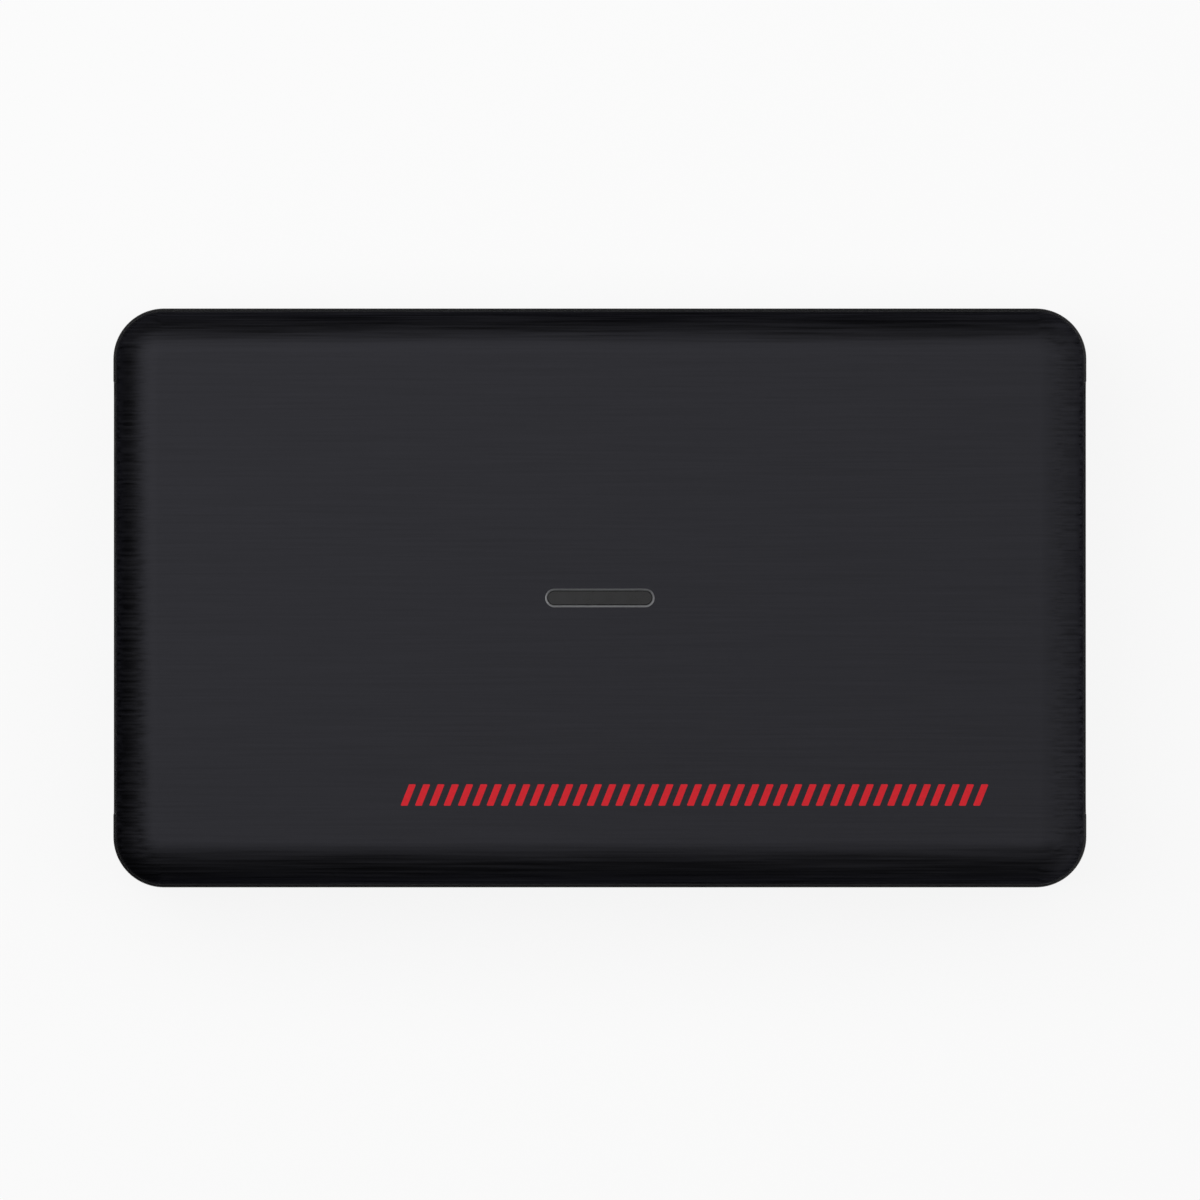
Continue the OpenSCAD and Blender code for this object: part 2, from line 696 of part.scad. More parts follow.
module top_cover() {
    color("#2d2d30") difference() {
        union() {
            difference() {
                soft_slab(2 * cover_x, 2 * cover_y, cover_r, edge_r, split_z, top_z);
                soft_slab(2 * inner_x, 2 * inner_y, inner_r, edge_r - cover_wall, split_z - cut, roof_z);
            }
            at_corners(post_x, post_y) translate([0, 0, boss_z])
                cylinder(d = post_d, h = roof_z + roof_t / 2 - boss_z);
        }
        end_windows();
        translate([0, 0, roof_z - cut]) linear_extrude(roof_t + 2 * cut) pill(slot_l, slot_w);
        translate([0, 0, top_z - window_slant]) flare(slot_l, slot_w, window_slant + cut);
        at_corners(post_x, post_y) translate([0, 0, boss_z - cut])
            cylinder(d = case_screw_d + 2 * thread_clear, h = case_hole_z - boss_z + cut);
    }
}

module tray_shell() {
    difference() {
        mirror([0, 0, 1]) soft_slab(case_l, case_w, corner_r, tray_edge_r, -split_z, -tray_z);
        translate([0, 0, floor_z]) linear_extrude(split_z - floor_z + cut)
            round_rect(2 * inner_x, 2 * tray_inner_y, tray_inner_r);
        end_windows();
    }
}

// Bosses, standoffs, ribs and lips, each rooted in the wall that carries it
module tray_inside() {
    root_z = floor_z - floor_t / 2;
    at_corners(post_x, post_y) translate([0, 0, root_z]) cylinder(d = boss_d, h = boss_z - root_z);
    at_corners(board_hole_x, board_hole_y) translate([0, 0, root_z])
        cylinder(d = standoff_d, h = board_z - root_z);
    for (sx = [0, 1], sy = [0, 1]) mirror([sx, 0, 0]) mirror([0, sy, 0])
        translate([rib_back, flange_y - rib_w, root_z]) cube([rib_t, rib_w, split_z - rib_drop - root_z]);
    for (s = [0, 1]) mirror([0, s, 0]) translate([-board_x, tray_inner_y, split_z - lip_h])
        cube([2 * board_x, lip_t, 2 * lip_h]);
}

module base_tray() {
    pilot_z = board_top - board_screw_l - hole_spare;
    color("#161618") difference() {
        union() {
            tray_shell();
            tray_inside();
        }
        at_corners(post_x, post_y) {
            translate([0, 0, tray_z - cut])
                cylinder(d = case_head_d + 2 * head_clear, h = counterbore_h + cut);
            translate([0, 0, tray_z])
                cylinder(d = case_screw_d + 2 * hole_clear, h = boss_z - tray_z + cut);
        }
        at_corners(board_hole_x, board_hole_y) translate([0, 0, pilot_z])
            cylinder(d = board_screw_d + 2 * thread_clear, h = board_z - pilot_z + cut);
        at_corners(foot_x, foot_y) translate([0, 0, tray_z - cut])
            cylinder(d = foot_d + 2 * foot_clear, h = foot_recess + cut);
        for (x = row_places(vent_n, vent_pitch), y = [-vent_row_y, vent_row_y])
            translate([x, y, tray_z - cut]) linear_extrude(floor_t + 2 * cut) rotate(90) pill(vent_l, vent_w);
    }
}

// A plate that fills the case's end window, on a flange that stands on the tray's floor behind the walls.
// Its children are the outlines of the holes for its sockets.
module end_panel() {
    root_l = port_x - flange_front + panel_flange_t / 2; // the face is rooted in the flange
    difference() {
        union() {
            translate([-root_l, 0, 0]) along_x(root_l) round_rect(panel_w, panel_h, panel_r);
            translate([flange_back - port_x, -flange_y, floor_z - port_z])
                cube([panel_flange_t, 2 * flange_y, port_z - floor_z + panel_h / 2 + panel_flange]);
        }
        translate([flange_back - port_x - cut, 0, 0]) along_x(port_x - flange_back + 2 * cut) children();
    }
}

module input_panel() {
    color("#131315") at_input(0) end_panel() {
        translate([-video_in_y, 0]) video_outline(shell_t + port_clear);
        for (y = [mic_y, headphone_y]) translate([-y, 0]) circle(d = nose_d + 2 * port_clear);
    }
}

module output_panel() {
    color("#131315") at_output(0) end_panel() {
        translate([video_out_y, 0]) video_outline(shell_t + port_clear);
        translate([data_y, 0]) data_outline(shell_t + port_clear);
    }
}

module case_screws() {
    color("#2a2a2c") at_corners(post_x, post_y) translate([0, 0, case_head_z])
        screw(case_screw_d, case_screw_l, case_head_d, case_head_h);
}

module rubber_feet() {
    color("#1b1b1b") at_corners(foot_x, foot_y) cylinder(d = foot_d, h = foot_h + foot_recess);
}

// Light pipe and status lamps

module pipe_flange_outline() {
    pill(window_l + 2 * pipe_flange, window_w + 2 * pipe_flange);
}

module light_pipe() {
    flange_z = roof_z - tape_t - pipe_flange_t;
    stem_z = board_top + lamp_h + lamp_gap;
    color("#9a9a9c") {
        translate([0, 0, flange_z]) linear_extrude(top_z - lens_drop - flange_z)
            pill(slot_l - 2 * lens_clear, slot_w - 2 * lens_clear);
        translate([0, 0, flange_z]) linear_extrude(pipe_flange_t) pipe_flange_outline();
        translate([0, 0, stem_z]) linear_extrude(flange_z - stem_z) pill(stem_l, stem_w);
    }
}

module light_pipe_tape() {
    color("#3c3c3c") translate([0, 0, roof_z - tape_t]) linear_extrude(tape_t) difference() {
        pipe_flange_outline();
        pill(slot_l, slot_w);
    }
}

module status_lamps() {
    color("#f2efe0") on_board([for (x = row_places(lamp_n, lamp_pitch)) [x, 0]])
        block(lamp_l, lamp_w, lamp_h);
}

// Circuit board

module leg_slots(w) {
    leg_slot_w = shell_t + 2 * leg_clear;
    for (s = [-1, 1], x = [leg_front, leg_front + leg_span])
        translate([-x, s * (w + shell_t) / 2, -port_z]) block(leg_w + 2 * leg_clear, leg_slot_w, port_z);
}

module spring_slots() {
    for (i = [0:2]) mirror([0, spring_sides[i], 0])
        translate([-spring_first - i * spring_pitch, spring_in + spring_t / 2, -port_z])
            block(spring_w + 2 * spring_clear, spring_t + 2 * spring_clear, port_z);
}

module circuit_board() {
    color("#14381f") difference() {
        translate([0, 0, board_z]) linear_extrude(board_t) {
            square([2 * board_x, 2 * board_y], center = true);
            square([2 * board_end, 2 * board_end_y], center = true);
        }
        at_corners(board_hole_x, board_hole_y) translate([0, 0, board_z - cut])
            cylinder(d = board_screw_d + 2 * hole_clear, h = board_t + 2 * cut);
        at_input(video_in_y) leg_slots(video_w);
        at_output(video_out_y) leg_slots(video_w);
        at_output(data_y) leg_slots(data_w);
        at_input(mic_y) spring_slots();
        at_input(headphone_y) spring_slots();
    }
}

module board_screws() {
    color("#b9babd") at_corners(board_hole_x, board_hole_y) translate([0, 0, board_top])
        mirror([0, 0, 1]) screw(board_screw_d, board_screw_l, board_head_d, board_head_h);
}

// What the sockets share: solder legs, a tongue, and strips that run along it and down to the board

module shell_legs(w, z) {
    foot_z = port_board - board_t - leg_below;
    for (s = [-1, 1], x = [leg_front, leg_front + leg_span])
        translate([-x, s * (w + shell_t) / 2, foot_z]) block(leg_w, shell_t, z - foot_z);
}

// A tongue that reaches forward from the block at the back of a socket of depth l
module tongue(w, t, up, front, l) {
    root = socket_block_l - l - cut;
    translate([root, -w / 2, up - t / 2]) cube([front - root, w, t]);
}

module contact(w, z, front, bend) {
    along_y(w) polygon([
        [front, z], [front, z + contact_t], [bend - contact_t, z + contact_t],
        [bend - contact_t, port_board + contact_t], [bend - contact_foot, port_board + contact_t],
        [bend - contact_foot, port_board], [bend, port_board], [bend, z]
    ]);
}

module contact_rows(rows, front) {
    for (row = rows, y = row[0]) translate([0, y, 0]) contact(row[1], row[2], front, row[3]);
}

// Channels for the strips through the block at the back of a socket of depth l
module contact_channels(rows, l) {
    for (row = rows, y = row[0])
        translate([-l - cut, y - row[1] / 2 - contact_clear, row[2] - contact_clear])
            cube([socket_block_l + cut, row[1] + 2 * contact_clear, contact_t + 2 * contact_clear]);
}

// Video sockets: a mouth with slanted lower corners, grown by t on all sides

module video_outline(t) {
    side = video_floor + video_slant - t * tan(22.5);
    foot = video_w / 2 - video_slant + t * tan(22.5);
    polygon([
        [-video_w / 2 - t, -video_floor + t], [video_w / 2 + t, -video_floor + t],
        [video_w / 2 + t, side], [foot, video_floor - t],
        [-foot, video_floor - t], [-video_w / 2 - t, side]
    ]);
}

module video_shell() {
    difference() {
        translate([-video_l, 0, 0]) along_x(video_l) video_outline(shell_t);
        translate([-video_l - cut, 0, 0]) along_x(video_l + 2 * cut) video_outline(0);
    }
    shell_legs(video_w, video_floor + video_slant);
}

module video_insulator() {
    difference() {
        union() {
            translate([-video_l, 0, 0]) along_x(socket_block_l) video_outline(-socket_clear);
            tongue(video_tongue_w, video_tongue_t, video_tongue_up, -video_tongue_back, video_l);
        }
        contact_channels(video_rows, video_l);
    }
}

module video_contacts() {
    contact_rows(video_rows, -video_tongue_back - contact_back);
}

module video_in_shell() {
    color("#c9c8c4") at_input(video_in_y) video_shell();
}

module video_in_insulator() {
    color("#1a1a1a") at_input(video_in_y) video_insulator();
}

module video_in_contacts() {
    color("#d4af5a") at_input(video_in_y) video_contacts();
}

module video_out_shell() {
    color("#c9c8c4") at_output(video_out_y) video_shell();
}

module video_out_insulator() {
    color("#1a1a1a") at_output(video_out_y) video_insulator();
}

module video_out_contacts() {
    color("#d4af5a") at_output(video_out_y) video_contacts();
}

// Data socket: a plain rectangular mouth, grown by t on all sides

module data_outline(t) {
    square([data_w + 2 * t, data_h + 2 * t], center = true);
}

module data_shell() {
    color("#c9c8c4") at_output(data_y) {
        difference() {
            translate([-data_l, 0, 0]) along_x(data_l) data_outline(shell_t);
            translate([-data_l - cut, 0, 0]) along_x(data_l + 2 * cut) data_outline(0);
        }
        shell_legs(data_w, data_floor + data_h / 2);
    }
}

module data_insulator() {
    color("#1d4fa3") at_output(data_y) difference() {
        union() {
            translate([-data_l, 0, 0]) along_x(socket_block_l) data_outline(-socket_clear);
            tongue(data_tongue_w, data_tongue_t, data_tongue_up, -data_tongue_back, data_l);
        }
        contact_channels(data_rows, data_l);
    }
}

module data_contacts() {
    color("#d4af5a") at_output(data_y) contact_rows(data_rows, -data_tongue_back - contact_back);
}

// Audio jacks: a moulded body with a chamber, a plated ferrule in its nose and three contact springs

module along_bore(x, d, l) {
    translate([x, 0, 0]) rotate([0, 90, 0]) cylinder(d = d, h = l);
}

module jack_body() {
    difference() {
        union() {
            translate([jack_end, -jack_w / 2, port_board]) cube([jack_l, jack_w, jack_up - port_board]);
            along_bore(jack_front - jack_gap, nose_d, jack_gap - jack_front - nose_back);
        }
        along_bore(-ferrule_l - ferrule_clear, ferrule_d + 2 * ferrule_clear, jack_l);
        translate([jack_end + jack_end_wall, -chamber_w / 2, -chamber_w / 2])
            cube([-jack_end - jack_end_wall - ferrule_l, chamber_w, chamber_w]);
        for (i = [0:2]) mirror([0, spring_sides[i], 0])
            translate([-spring_first - i * spring_pitch, jack_bore / 2 + jack_w / 2, port_board - cut])
                block(spring_w + 2 * spring_clear, jack_w, spring_up + spring_clear - port_board + cut);
    }
}

module jack_ferrule() {
    difference() {
        along_bore(-ferrule_l, ferrule_d, ferrule_l);
        along_bore(-ferrule_l - cut, jack_bore, ferrule_l + 2 * cut);
    }
}

module jack_springs() {
    foot_z = port_board - board_t - leg_below;
    for (i = [0:2]) mirror([0, spring_sides[i], 0])
        translate([-spring_first - i * spring_pitch, spring_in + spring_t / 2, foot_z])
            block(spring_w, spring_t, spring_up - foot_z);
}

module mic_jack_body() {
    color("#17171a") at_input(mic_y) jack_body();
}

module mic_jack_ferrule() {
    color("#cfcfcb") at_input(mic_y) jack_ferrule();
}

module mic_jack_springs() {
    color("#cfcfcb") at_input(mic_y) jack_springs();
}

module headphone_jack_body() {
    color("#17171a") at_input(headphone_y) jack_body();
}

module headphone_jack_ferrule() {
    color("#cfcfcb") at_input(headphone_y) jack_ferrule();
}

module headphone_jack_springs() {
    color("#cfcfcb") at_input(headphone_y) jack_springs();
}

// Processor, with its pad and heat sink

module on_processor(z) {
    translate([processor_x, processor_y, board_top + z]) children();
}

module capture_processor() {
    color("#202022") on_processor(0) block(processor_w, processor_w, processor_h);
}

module thermal_pad() {
    color("#8f9aa8") on_processor(processor_h) block(processor_w, processor_w, pad_t);
}

module heat_sink() {
    color("#b4b6ba") on_processor(processor_h + pad_t) {
        block(sink_w, sink_w, sink_base);
        for (y = row_places(sink_fins, (sink_w - sink_fin_t) / (sink_fins - 1)))
            translate([0, y, 0]) block(sink_w, sink_fin_t, sink_h);
    }
}

// Chips and their leads

// A gull-wing lead that leaves a chip's side at x = 0 and stands on the board
module lead(w, h) {
    along_y(w) polygon([
        [0, h], [0, h + lead_t], [lead_out, h + lead_t], [lead_out, lead_t],
        [lead_reach, lead_t], [lead_reach, 0], [lead_out - lead_t, 0], [lead_out - lead_t, h]
    ]);
}

module lead_row(n, pitch, reach, h, w) {
    for (y = row_places(n, pitch)) translate([reach, y, 0]) lead(w, h);
}

// The moulded body of a chip that stands on leads
module leaded_chip(l, w, h) {
    translate([0, 0, chip_lift]) block(l, w, h - chip_lift);
}

module video_receiver() {
    color("#202022") on_board([[receiver_x, receiver_y]]) leaded_chip(receiver_w, receiver_w, receiver_h);
}

module video_receiver_leads() {
    color("#b9babd") on_board([[receiver_x, receiver_y]]) for (a = [0:90:270]) rotate([0, 0, a])
        lead_row(receiver_leads_n, receiver_pitch, receiver_w / 2, receiver_h / 2, lead_w);
}

module flash_memory() {
    color("#202022") on_board([[0, flash_y]]) leaded_chip(flash_l, flash_w, flash_h);
}

module flash_memory_leads() {
    color("#b9babd") on_board([[0, flash_y]]) for (a = [90, 270]) rotate([0, 0, a])
        lead_row(flash_leads_n, flash_pitch, flash_w / 2, flash_h / 2, lead_w);
}

module bus_bridge() {
    color("#202022") on_board([[bridge_x, data_y]]) block(bridge_w, bridge_w, bridge_h);
}

module memory_chips() {
    color("#202022") on_board(memory_places) block(memory_w, memory_l, memory_h);
}

module loop_splitter() {
    color("#202022") on_board([[splitter_x, video_out_y]]) block(splitter_w, splitter_w, splitter_h);
}

module audio_codec() {
    color("#202022") on_board([[-codec_x, -codec_y]]) block(codec_w, codec_w, codec_h);
}

// Power parts

module voltage_regulators() {
    color("#202022") on_board(regulator_places) leaded_chip(regulator_l, regulator_w, regulator_h);
}

module regulator_leads() {
    color("#b9babd") on_board(regulator_places) {
        rotate([0, 0, 90]) lead_row(1, regulator_pitch, regulator_w / 2, regulator_h / 2, regulator_tab_w);
        rotate([0, 0, 270]) lead_row(3, regulator_pitch, regulator_w / 2, regulator_h / 2, regulator_lead_w);
    }
}

module power_inductors() {
    side = inductor_w / 2;
    end = side - inductor_cut;
    color("#3d3d40") on_board(inductor_places) linear_extrude(inductor_h) polygon([
        [-side, -end], [-end, -side], [end, -side], [side, -end],
        [side, end], [end, side], [-end, side], [-side, end]
    ]);
}

module bulk_capacitor_cans() {
    color("#c4c6c9") on_board(bulk_places) translate([0, 0, bulk_base_t]) cylinder(d = bulk_d, h = bulk_h);
}

module bulk_capacitor_bases() {
    color("#1c1c1c") on_board(bulk_places) block(bulk_base_w, bulk_base_w, bulk_base_t);
}

module crystals() {
    color("#cfcfcb") on_board(crystal_places) linear_extrude(crystal_h) pill(crystal_l, crystal_w);
}

// Small parts

module line_filters() {
    color("#55524c") on_board(filter_places) block(filter_l, filter_w, filter_h);
}

module surge_arrays() {
    color("#202022") on_board(surge_places) block(surge_w, surge_l, surge_h);
}

module small_rows(rows, h) {
    for (row = rows) on_board([row[0]]) rotate([0, 0, row[2] * 90])
        for (x = row_places(row[1], small_pitch)) translate([x, 0, 0]) block(small_w, small_l, h);
}

module ceramic_capacitors() {
    color("#a58a63") small_rows(ceramic_rows, ceramic_h);
}

module chip_resistors() {
    color("#26262a") small_rows(resistor_rows, resistor_h);
}

top_cover();
base_tray();
input_panel();
output_panel();
case_screws();
rubber_feet();
light_pipe();
light_pipe_tape();
status_lamps();
circuit_board();
board_screws();
video_in_shell();
video_in_insulator();
video_in_contacts();
video_out_shell();
video_out_insulator();
video_out_contacts();
data_shell();
data_insulator();
data_contacts();
mic_jack_body();
mic_jack_ferrule();
mic_jack_springs();
headphone_jack_body();
headphone_jack_ferrule();
headphone_jack_springs();
capture_processor();
thermal_pad();
heat_sink();
video_receiver();
video_receiver_leads();
flash_memory();
flash_memory_leads();
bus_bridge();
memory_chips();
loop_splitter();
audio_codec();
voltage_regulators();
regulator_leads();
power_inductors();
bulk_capacitor_cans();
bulk_capacitor_bases();
crystals();
line_filters();
surge_arrays();
ceramic_capacitors();
chip_resistors();
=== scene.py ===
import json
import math

import bmesh
import bpy
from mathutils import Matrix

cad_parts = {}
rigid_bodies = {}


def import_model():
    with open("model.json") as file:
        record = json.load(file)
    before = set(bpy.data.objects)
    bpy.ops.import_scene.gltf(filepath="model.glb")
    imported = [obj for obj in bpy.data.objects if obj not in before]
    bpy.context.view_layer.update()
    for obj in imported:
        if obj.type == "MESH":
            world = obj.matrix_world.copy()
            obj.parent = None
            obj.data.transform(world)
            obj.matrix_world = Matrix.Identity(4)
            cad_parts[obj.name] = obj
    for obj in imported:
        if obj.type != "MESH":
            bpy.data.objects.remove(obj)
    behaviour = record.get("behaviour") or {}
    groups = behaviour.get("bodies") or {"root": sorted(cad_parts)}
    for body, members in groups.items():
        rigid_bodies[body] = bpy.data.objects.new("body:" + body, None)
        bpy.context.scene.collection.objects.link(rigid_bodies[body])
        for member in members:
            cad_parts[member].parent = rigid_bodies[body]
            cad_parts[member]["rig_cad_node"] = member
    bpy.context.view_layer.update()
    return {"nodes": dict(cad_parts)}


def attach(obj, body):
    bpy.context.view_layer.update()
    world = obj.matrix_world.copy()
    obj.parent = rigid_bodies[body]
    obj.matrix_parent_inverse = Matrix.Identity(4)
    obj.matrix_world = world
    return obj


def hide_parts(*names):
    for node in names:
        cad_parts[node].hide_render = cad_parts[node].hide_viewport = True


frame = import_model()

# Base tray
# The lower half of the case. It carries the board on four standoffs, the end panels between ribs, and the feet.
# Moulded in one shot of black ABS, in a mould that was spark-eroded, so that it leaves with a fine even grain.
MM = 0.001
CASE_L, CASE_W, CORNER_R = 100.0, 59.5, 5.2
TRAY_Z, FLOOR_Z, SPLIT_Z = 1.0, 2.8, 9.7
TRAY_EDGE_R, RIM_CHAMFER, TRAY_BREAK = 1.2, 0.3, 0.12
CAVITY_X, CAVITY_Y, CAVITY_R = 48.2, 27.05, 2.0
POST_X, POST_Y, BOSS_D, BOSS_Z = 41.4, 23.25, 6.4, 6.8
STANDOFF_X, STANDOFF_Y, STANDOFF_D, BOARD_Z = 28.1, 23.05, 5.0, 5.0
RIB_X, RIB_Y, RIB_T, RIB_W, RIB_Z = 45.8, 22.4, 1.2, 1.6, 8.9
LIP_X, LIP_Y, LIP_T, LIP_H = 37.7, 27.45, 0.8, 1.2
HEAD_BORE_D, HEAD_BORE_H, SCREW_HOLE_D = 4.8, 2.4, 2.9
PILOT_D, PILOT_Z = 2.04, 2.2
FOOT_X, FOOT_Y, FOOT_BED_D, FOOT_BED_H = 33.0, 17.75, 8.2, 0.6
VENT_L, VENT_W, VENT_PITCH, VENT_COUNT, VENT_Y = 13.0, 1.8, 4.6, 9, 9.5
WINDOW_Y, WINDOW_H, WINDOW_R = 22.15, 8.9, 1.55
ROOT = 0.9  # how deep a boss, rib or post is rooted in the floor or the roof
SPARE = 1.0  # how far a cutting tool reaches past the wall that it cuts
TOUCH = 0.002  # places closer together than this count as one
PARALLEL = 0.999  # an edge runs along an axis when this share of its length does
CREASE = 35  # edges sharper than this many degrees are broken, and stay sharp to the eye


def begin(name):
    """Names the primitive just added, puts its place into its mesh and opens it in edit mode."""
    piece = bpy.context.object
    piece.name = piece.data.name = name
    bpy.ops.object.transform_apply(location=True, rotation=True, scale=True)
    bpy.ops.object.mode_set(mode="EDIT")
    return piece


def add_box(name, low, high):
    """A box between two corners in mm, open in edit mode."""
    bpy.ops.object.select_all(action="DESELECT")
    bpy.ops.mesh.primitive_cube_add(size=1, location=[(a + b) / 2 * MM for a, b in zip(low, high)],
                                    scale=[(b - a) * MM for a, b in zip(low, high)])
    return begin(name)


def add_rod(name, diameter, low, high, turn=(0, 0, 0), sides=64):
    """A round rod between two points in mm, open in edit mode; turn sets its axis."""
    bpy.ops.object.select_all(action="DESELECT")
    bpy.ops.mesh.primitive_cylinder_add(vertices=sides, radius=diameter / 2 * MM, depth=math.dist(low, high) * MM,
                                        location=[(a + b) / 2 * MM for a, b in zip(low, high)], rotation=turn)
    return begin(name)


def choose(kind, test):
    """Selects only those faces, edges or verts of the open piece that pass the test."""
    bpy.ops.mesh.select_mode(type={"faces": "FACE", "edges": "EDGE", "verts": "VERT"}[kind])
    bpy.ops.mesh.select_all(action="DESELECT")
    mesh = bmesh.from_edit_mesh(bpy.context.object.data)
    for part in getattr(mesh, kind):
        if test(part):
            part.select_set(True)
    bmesh.update_edit_mesh(bpy.context.object.data)


def lies_at(part, axis, value):
    """Whether a face or edge lies wholly at one coordinate, in mm."""
    return all(abs(v.co[axis] / MM - value) < TOUCH for v in part.verts)


def runs_along(edge, axis):
    """Whether an edge is parallel to an axis."""
    step = edge.verts[1].co - edge.verts[0].co
    return abs(step[axis]) > PARALLEL * step.length


def round_edges(radius, segments):
    """Rounds the chosen edges, or slants them where there is one segment."""
    bpy.ops.mesh.bevel(offset=radius * MM, segments=segments, affect="EDGES", clamp_overlap=False)


def close_up():
    """Leaves edit mode."""
    bpy.ops.object.mode_set(mode="OBJECT")


def pick(*pieces):
    """Selects only these closed pieces, and makes the first of them the active one."""
    bpy.ops.object.select_all(action="DESELECT")
    for piece in pieces:
        piece.select_set(True)
    bpy.context.view_layer.objects.active = pieces[0]


def join(*pieces):
    """Joins closed pieces into the first of them."""
    pick(*pieces)
    bpy.ops.object.join()
    return pieces[0]


def moved_copy(piece, move):
    """A copy of a closed piece with a mesh of its own, moved by so many mm."""
    pick(piece)
    bpy.ops.object.duplicate()
    bpy.ops.transform.translate(value=[m * MM for m in move])
    bpy.ops.object.transform_apply(location=True, rotation=False, scale=False)
    return bpy.context.object


def copy_to(piece, *moves):
    """Copies a closed piece by each move in mm, and joins the copies to it."""
    return join(piece, *[moved_copy(piece, move) for move in moves])


def to_corners(piece, x, y):
    """Copies a closed piece from the corner at -x, -y to the other three."""
    return copy_to(piece, (2 * x, 0, 0), (0, 2 * y, 0), (2 * x, 2 * y, 0))


def apply_modifier(piece, kind, **settings):
    """Puts a modifier on a closed piece and applies it."""
    pick(piece)
    modifier = piece.modifiers.new(kind.lower(), kind)
    for name, value in settings.items():
        setattr(modifier, name, value)
    bpy.ops.object.modifier_apply(modifier=modifier.name)


def combine(piece, tool, operation):
    """Cuts the tool out of a piece, or joins it to the piece, and clears the tool away."""
    apply_modifier(piece, "BOOLEAN", object=tool, operation=operation, solver="EXACT",
                   material_mode="TRANSFER" if tool.data.materials else "INDEX")
    bpy.data.objects.remove(tool)


def soften(piece, width, segments=2):
    """Breaks the sharp edges of a closed piece, as a mould or a tumbler does."""
    apply_modifier(piece, "BEVEL", width=width * MM, segments=segments, limit_method="ANGLE",
                   angle_limit=math.radians(CREASE), use_clamp_overlap=False, miter_outer="MITER_ARC")


def hand_over(piece, node=None):
    """Smooths a closed piece up to its sharp edges, and ties it to the frame."""
    pick(piece)
    bpy.ops.object.shade_smooth_by_angle(angle=math.radians(CREASE))
    apply_modifier(piece, "WEIGHTED_NORMAL", mode="FACE_AREA", keep_sharp=True)
    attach(piece, "root")
    if node:
        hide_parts(node)


def pill_tool(name, middle, length, width, low, high, along):
    """A rod pulled apart along one axis into a pill-shaped bar, closed."""
    sides = 48
    tool = add_rod(name, width / math.cos(math.pi / sides), (*middle, low), (*middle, high),
                   turn=(0, 0, math.pi / sides), sides=sides)
    for side in (-1, 1):
        choose("verts", lambda v: (v.co[along] - middle[along] * MM) * side > 0)
        pull = [0, 0, 0]
        pull[along] = side * (length - width) / 2 * MM
        bpy.ops.transform.translate(value=pull)
    close_up()
    return tool


def window_tool():
    """A bar with the outline of the end panels, right through both ends of the case."""
    tool = add_box("window_tool", (-CASE_L, -WINDOW_Y, SPLIT_Z - WINDOW_H / 2),
                   (CASE_L, WINDOW_Y, SPLIT_Z + WINDOW_H / 2))
    choose("edges", lambda e: runs_along(e, 0))
    round_edges(WINDOW_R, segments=6)
    close_up()
    return tool


tray = add_box("tray", (-CASE_L / 2, -CASE_W / 2, TRAY_Z), (CASE_L / 2, CASE_W / 2, SPLIT_Z))
choose("edges", lambda e: runs_along(e, 2))
round_edges(CORNER_R, segments=24)
choose("edges", lambda e: lies_at(e, 2, TRAY_Z))
round_edges(TRAY_EDGE_R, segments=6)
choose("edges", lambda e: lies_at(e, 2, SPLIT_Z))
round_edges(RIM_CHAMFER, segments=1)
close_up()

cavity = add_box("cavity", (-CAVITY_X, -CAVITY_Y, FLOOR_Z), (CAVITY_X, CAVITY_Y, SPLIT_Z + SPARE))
choose("edges", lambda e: runs_along(e, 2))
round_edges(CAVITY_R, segments=8)
close_up()
combine(tray, cavity, "DIFFERENCE")
combine(tray, window_tool(), "DIFFERENCE")

boss = add_rod("boss", BOSS_D, (-POST_X, -POST_Y, FLOOR_Z - ROOT), (-POST_X, -POST_Y, BOSS_Z))
close_up()
combine(tray, to_corners(boss, POST_X, POST_Y), "UNION")
standoff = add_rod("standoff", STANDOFF_D, (-STANDOFF_X, -STANDOFF_Y, FLOOR_Z - ROOT),
                   (-STANDOFF_X, -STANDOFF_Y, BOARD_Z))
close_up()
combine(tray, to_corners(standoff, STANDOFF_X, STANDOFF_Y), "UNION")
rib = add_box("rib", (-RIB_X - RIB_T / 2, -RIB_Y - RIB_W / 2, FLOOR_Z - ROOT),
              (-RIB_X + RIB_T / 2, -RIB_Y + RIB_W / 2, RIB_Z))
close_up()
combine(tray, to_corners(rib, RIB_X, RIB_Y), "UNION")
lip = add_box("lip", (-LIP_X, -LIP_Y - LIP_T / 2, SPLIT_Z - LIP_H),
              (LIP_X, -LIP_Y + LIP_T / 2, SPLIT_Z + LIP_H))
close_up()
combine(tray, copy_to(lip, (0, 2 * LIP_Y, 0)), "UNION")

vents = pill_tool("vents", (-VENT_PITCH * (VENT_COUNT - 1) / 2, -VENT_Y), VENT_L, VENT_W,
                  TRAY_Z - SPARE, FLOOR_Z + SPARE, along=1)
copy_to(vents, *[(i * VENT_PITCH, j * 2 * VENT_Y, 0) for i in range(VENT_COUNT) for j in (0, 1) if i or j])
combine(tray, vents, "DIFFERENCE")
for width, low, high, x, y in (
        (HEAD_BORE_D, TRAY_Z - SPARE, TRAY_Z + HEAD_BORE_H, POST_X, POST_Y),
        (SCREW_HOLE_D, TRAY_Z, BOSS_Z + SPARE, POST_X, POST_Y),
        (PILOT_D, PILOT_Z, BOARD_Z + SPARE, STANDOFF_X, STANDOFF_Y),
        (FOOT_BED_D, TRAY_Z - SPARE, TRAY_Z + FOOT_BED_H, FOOT_X, FOOT_Y)):
    drill = add_rod("drill", width, (-x, -y, low), (-x, -y, high))
    close_up()
    combine(tray, to_corners(drill, x, y), "DIFFERENCE")
soften(tray, TRAY_BREAK)


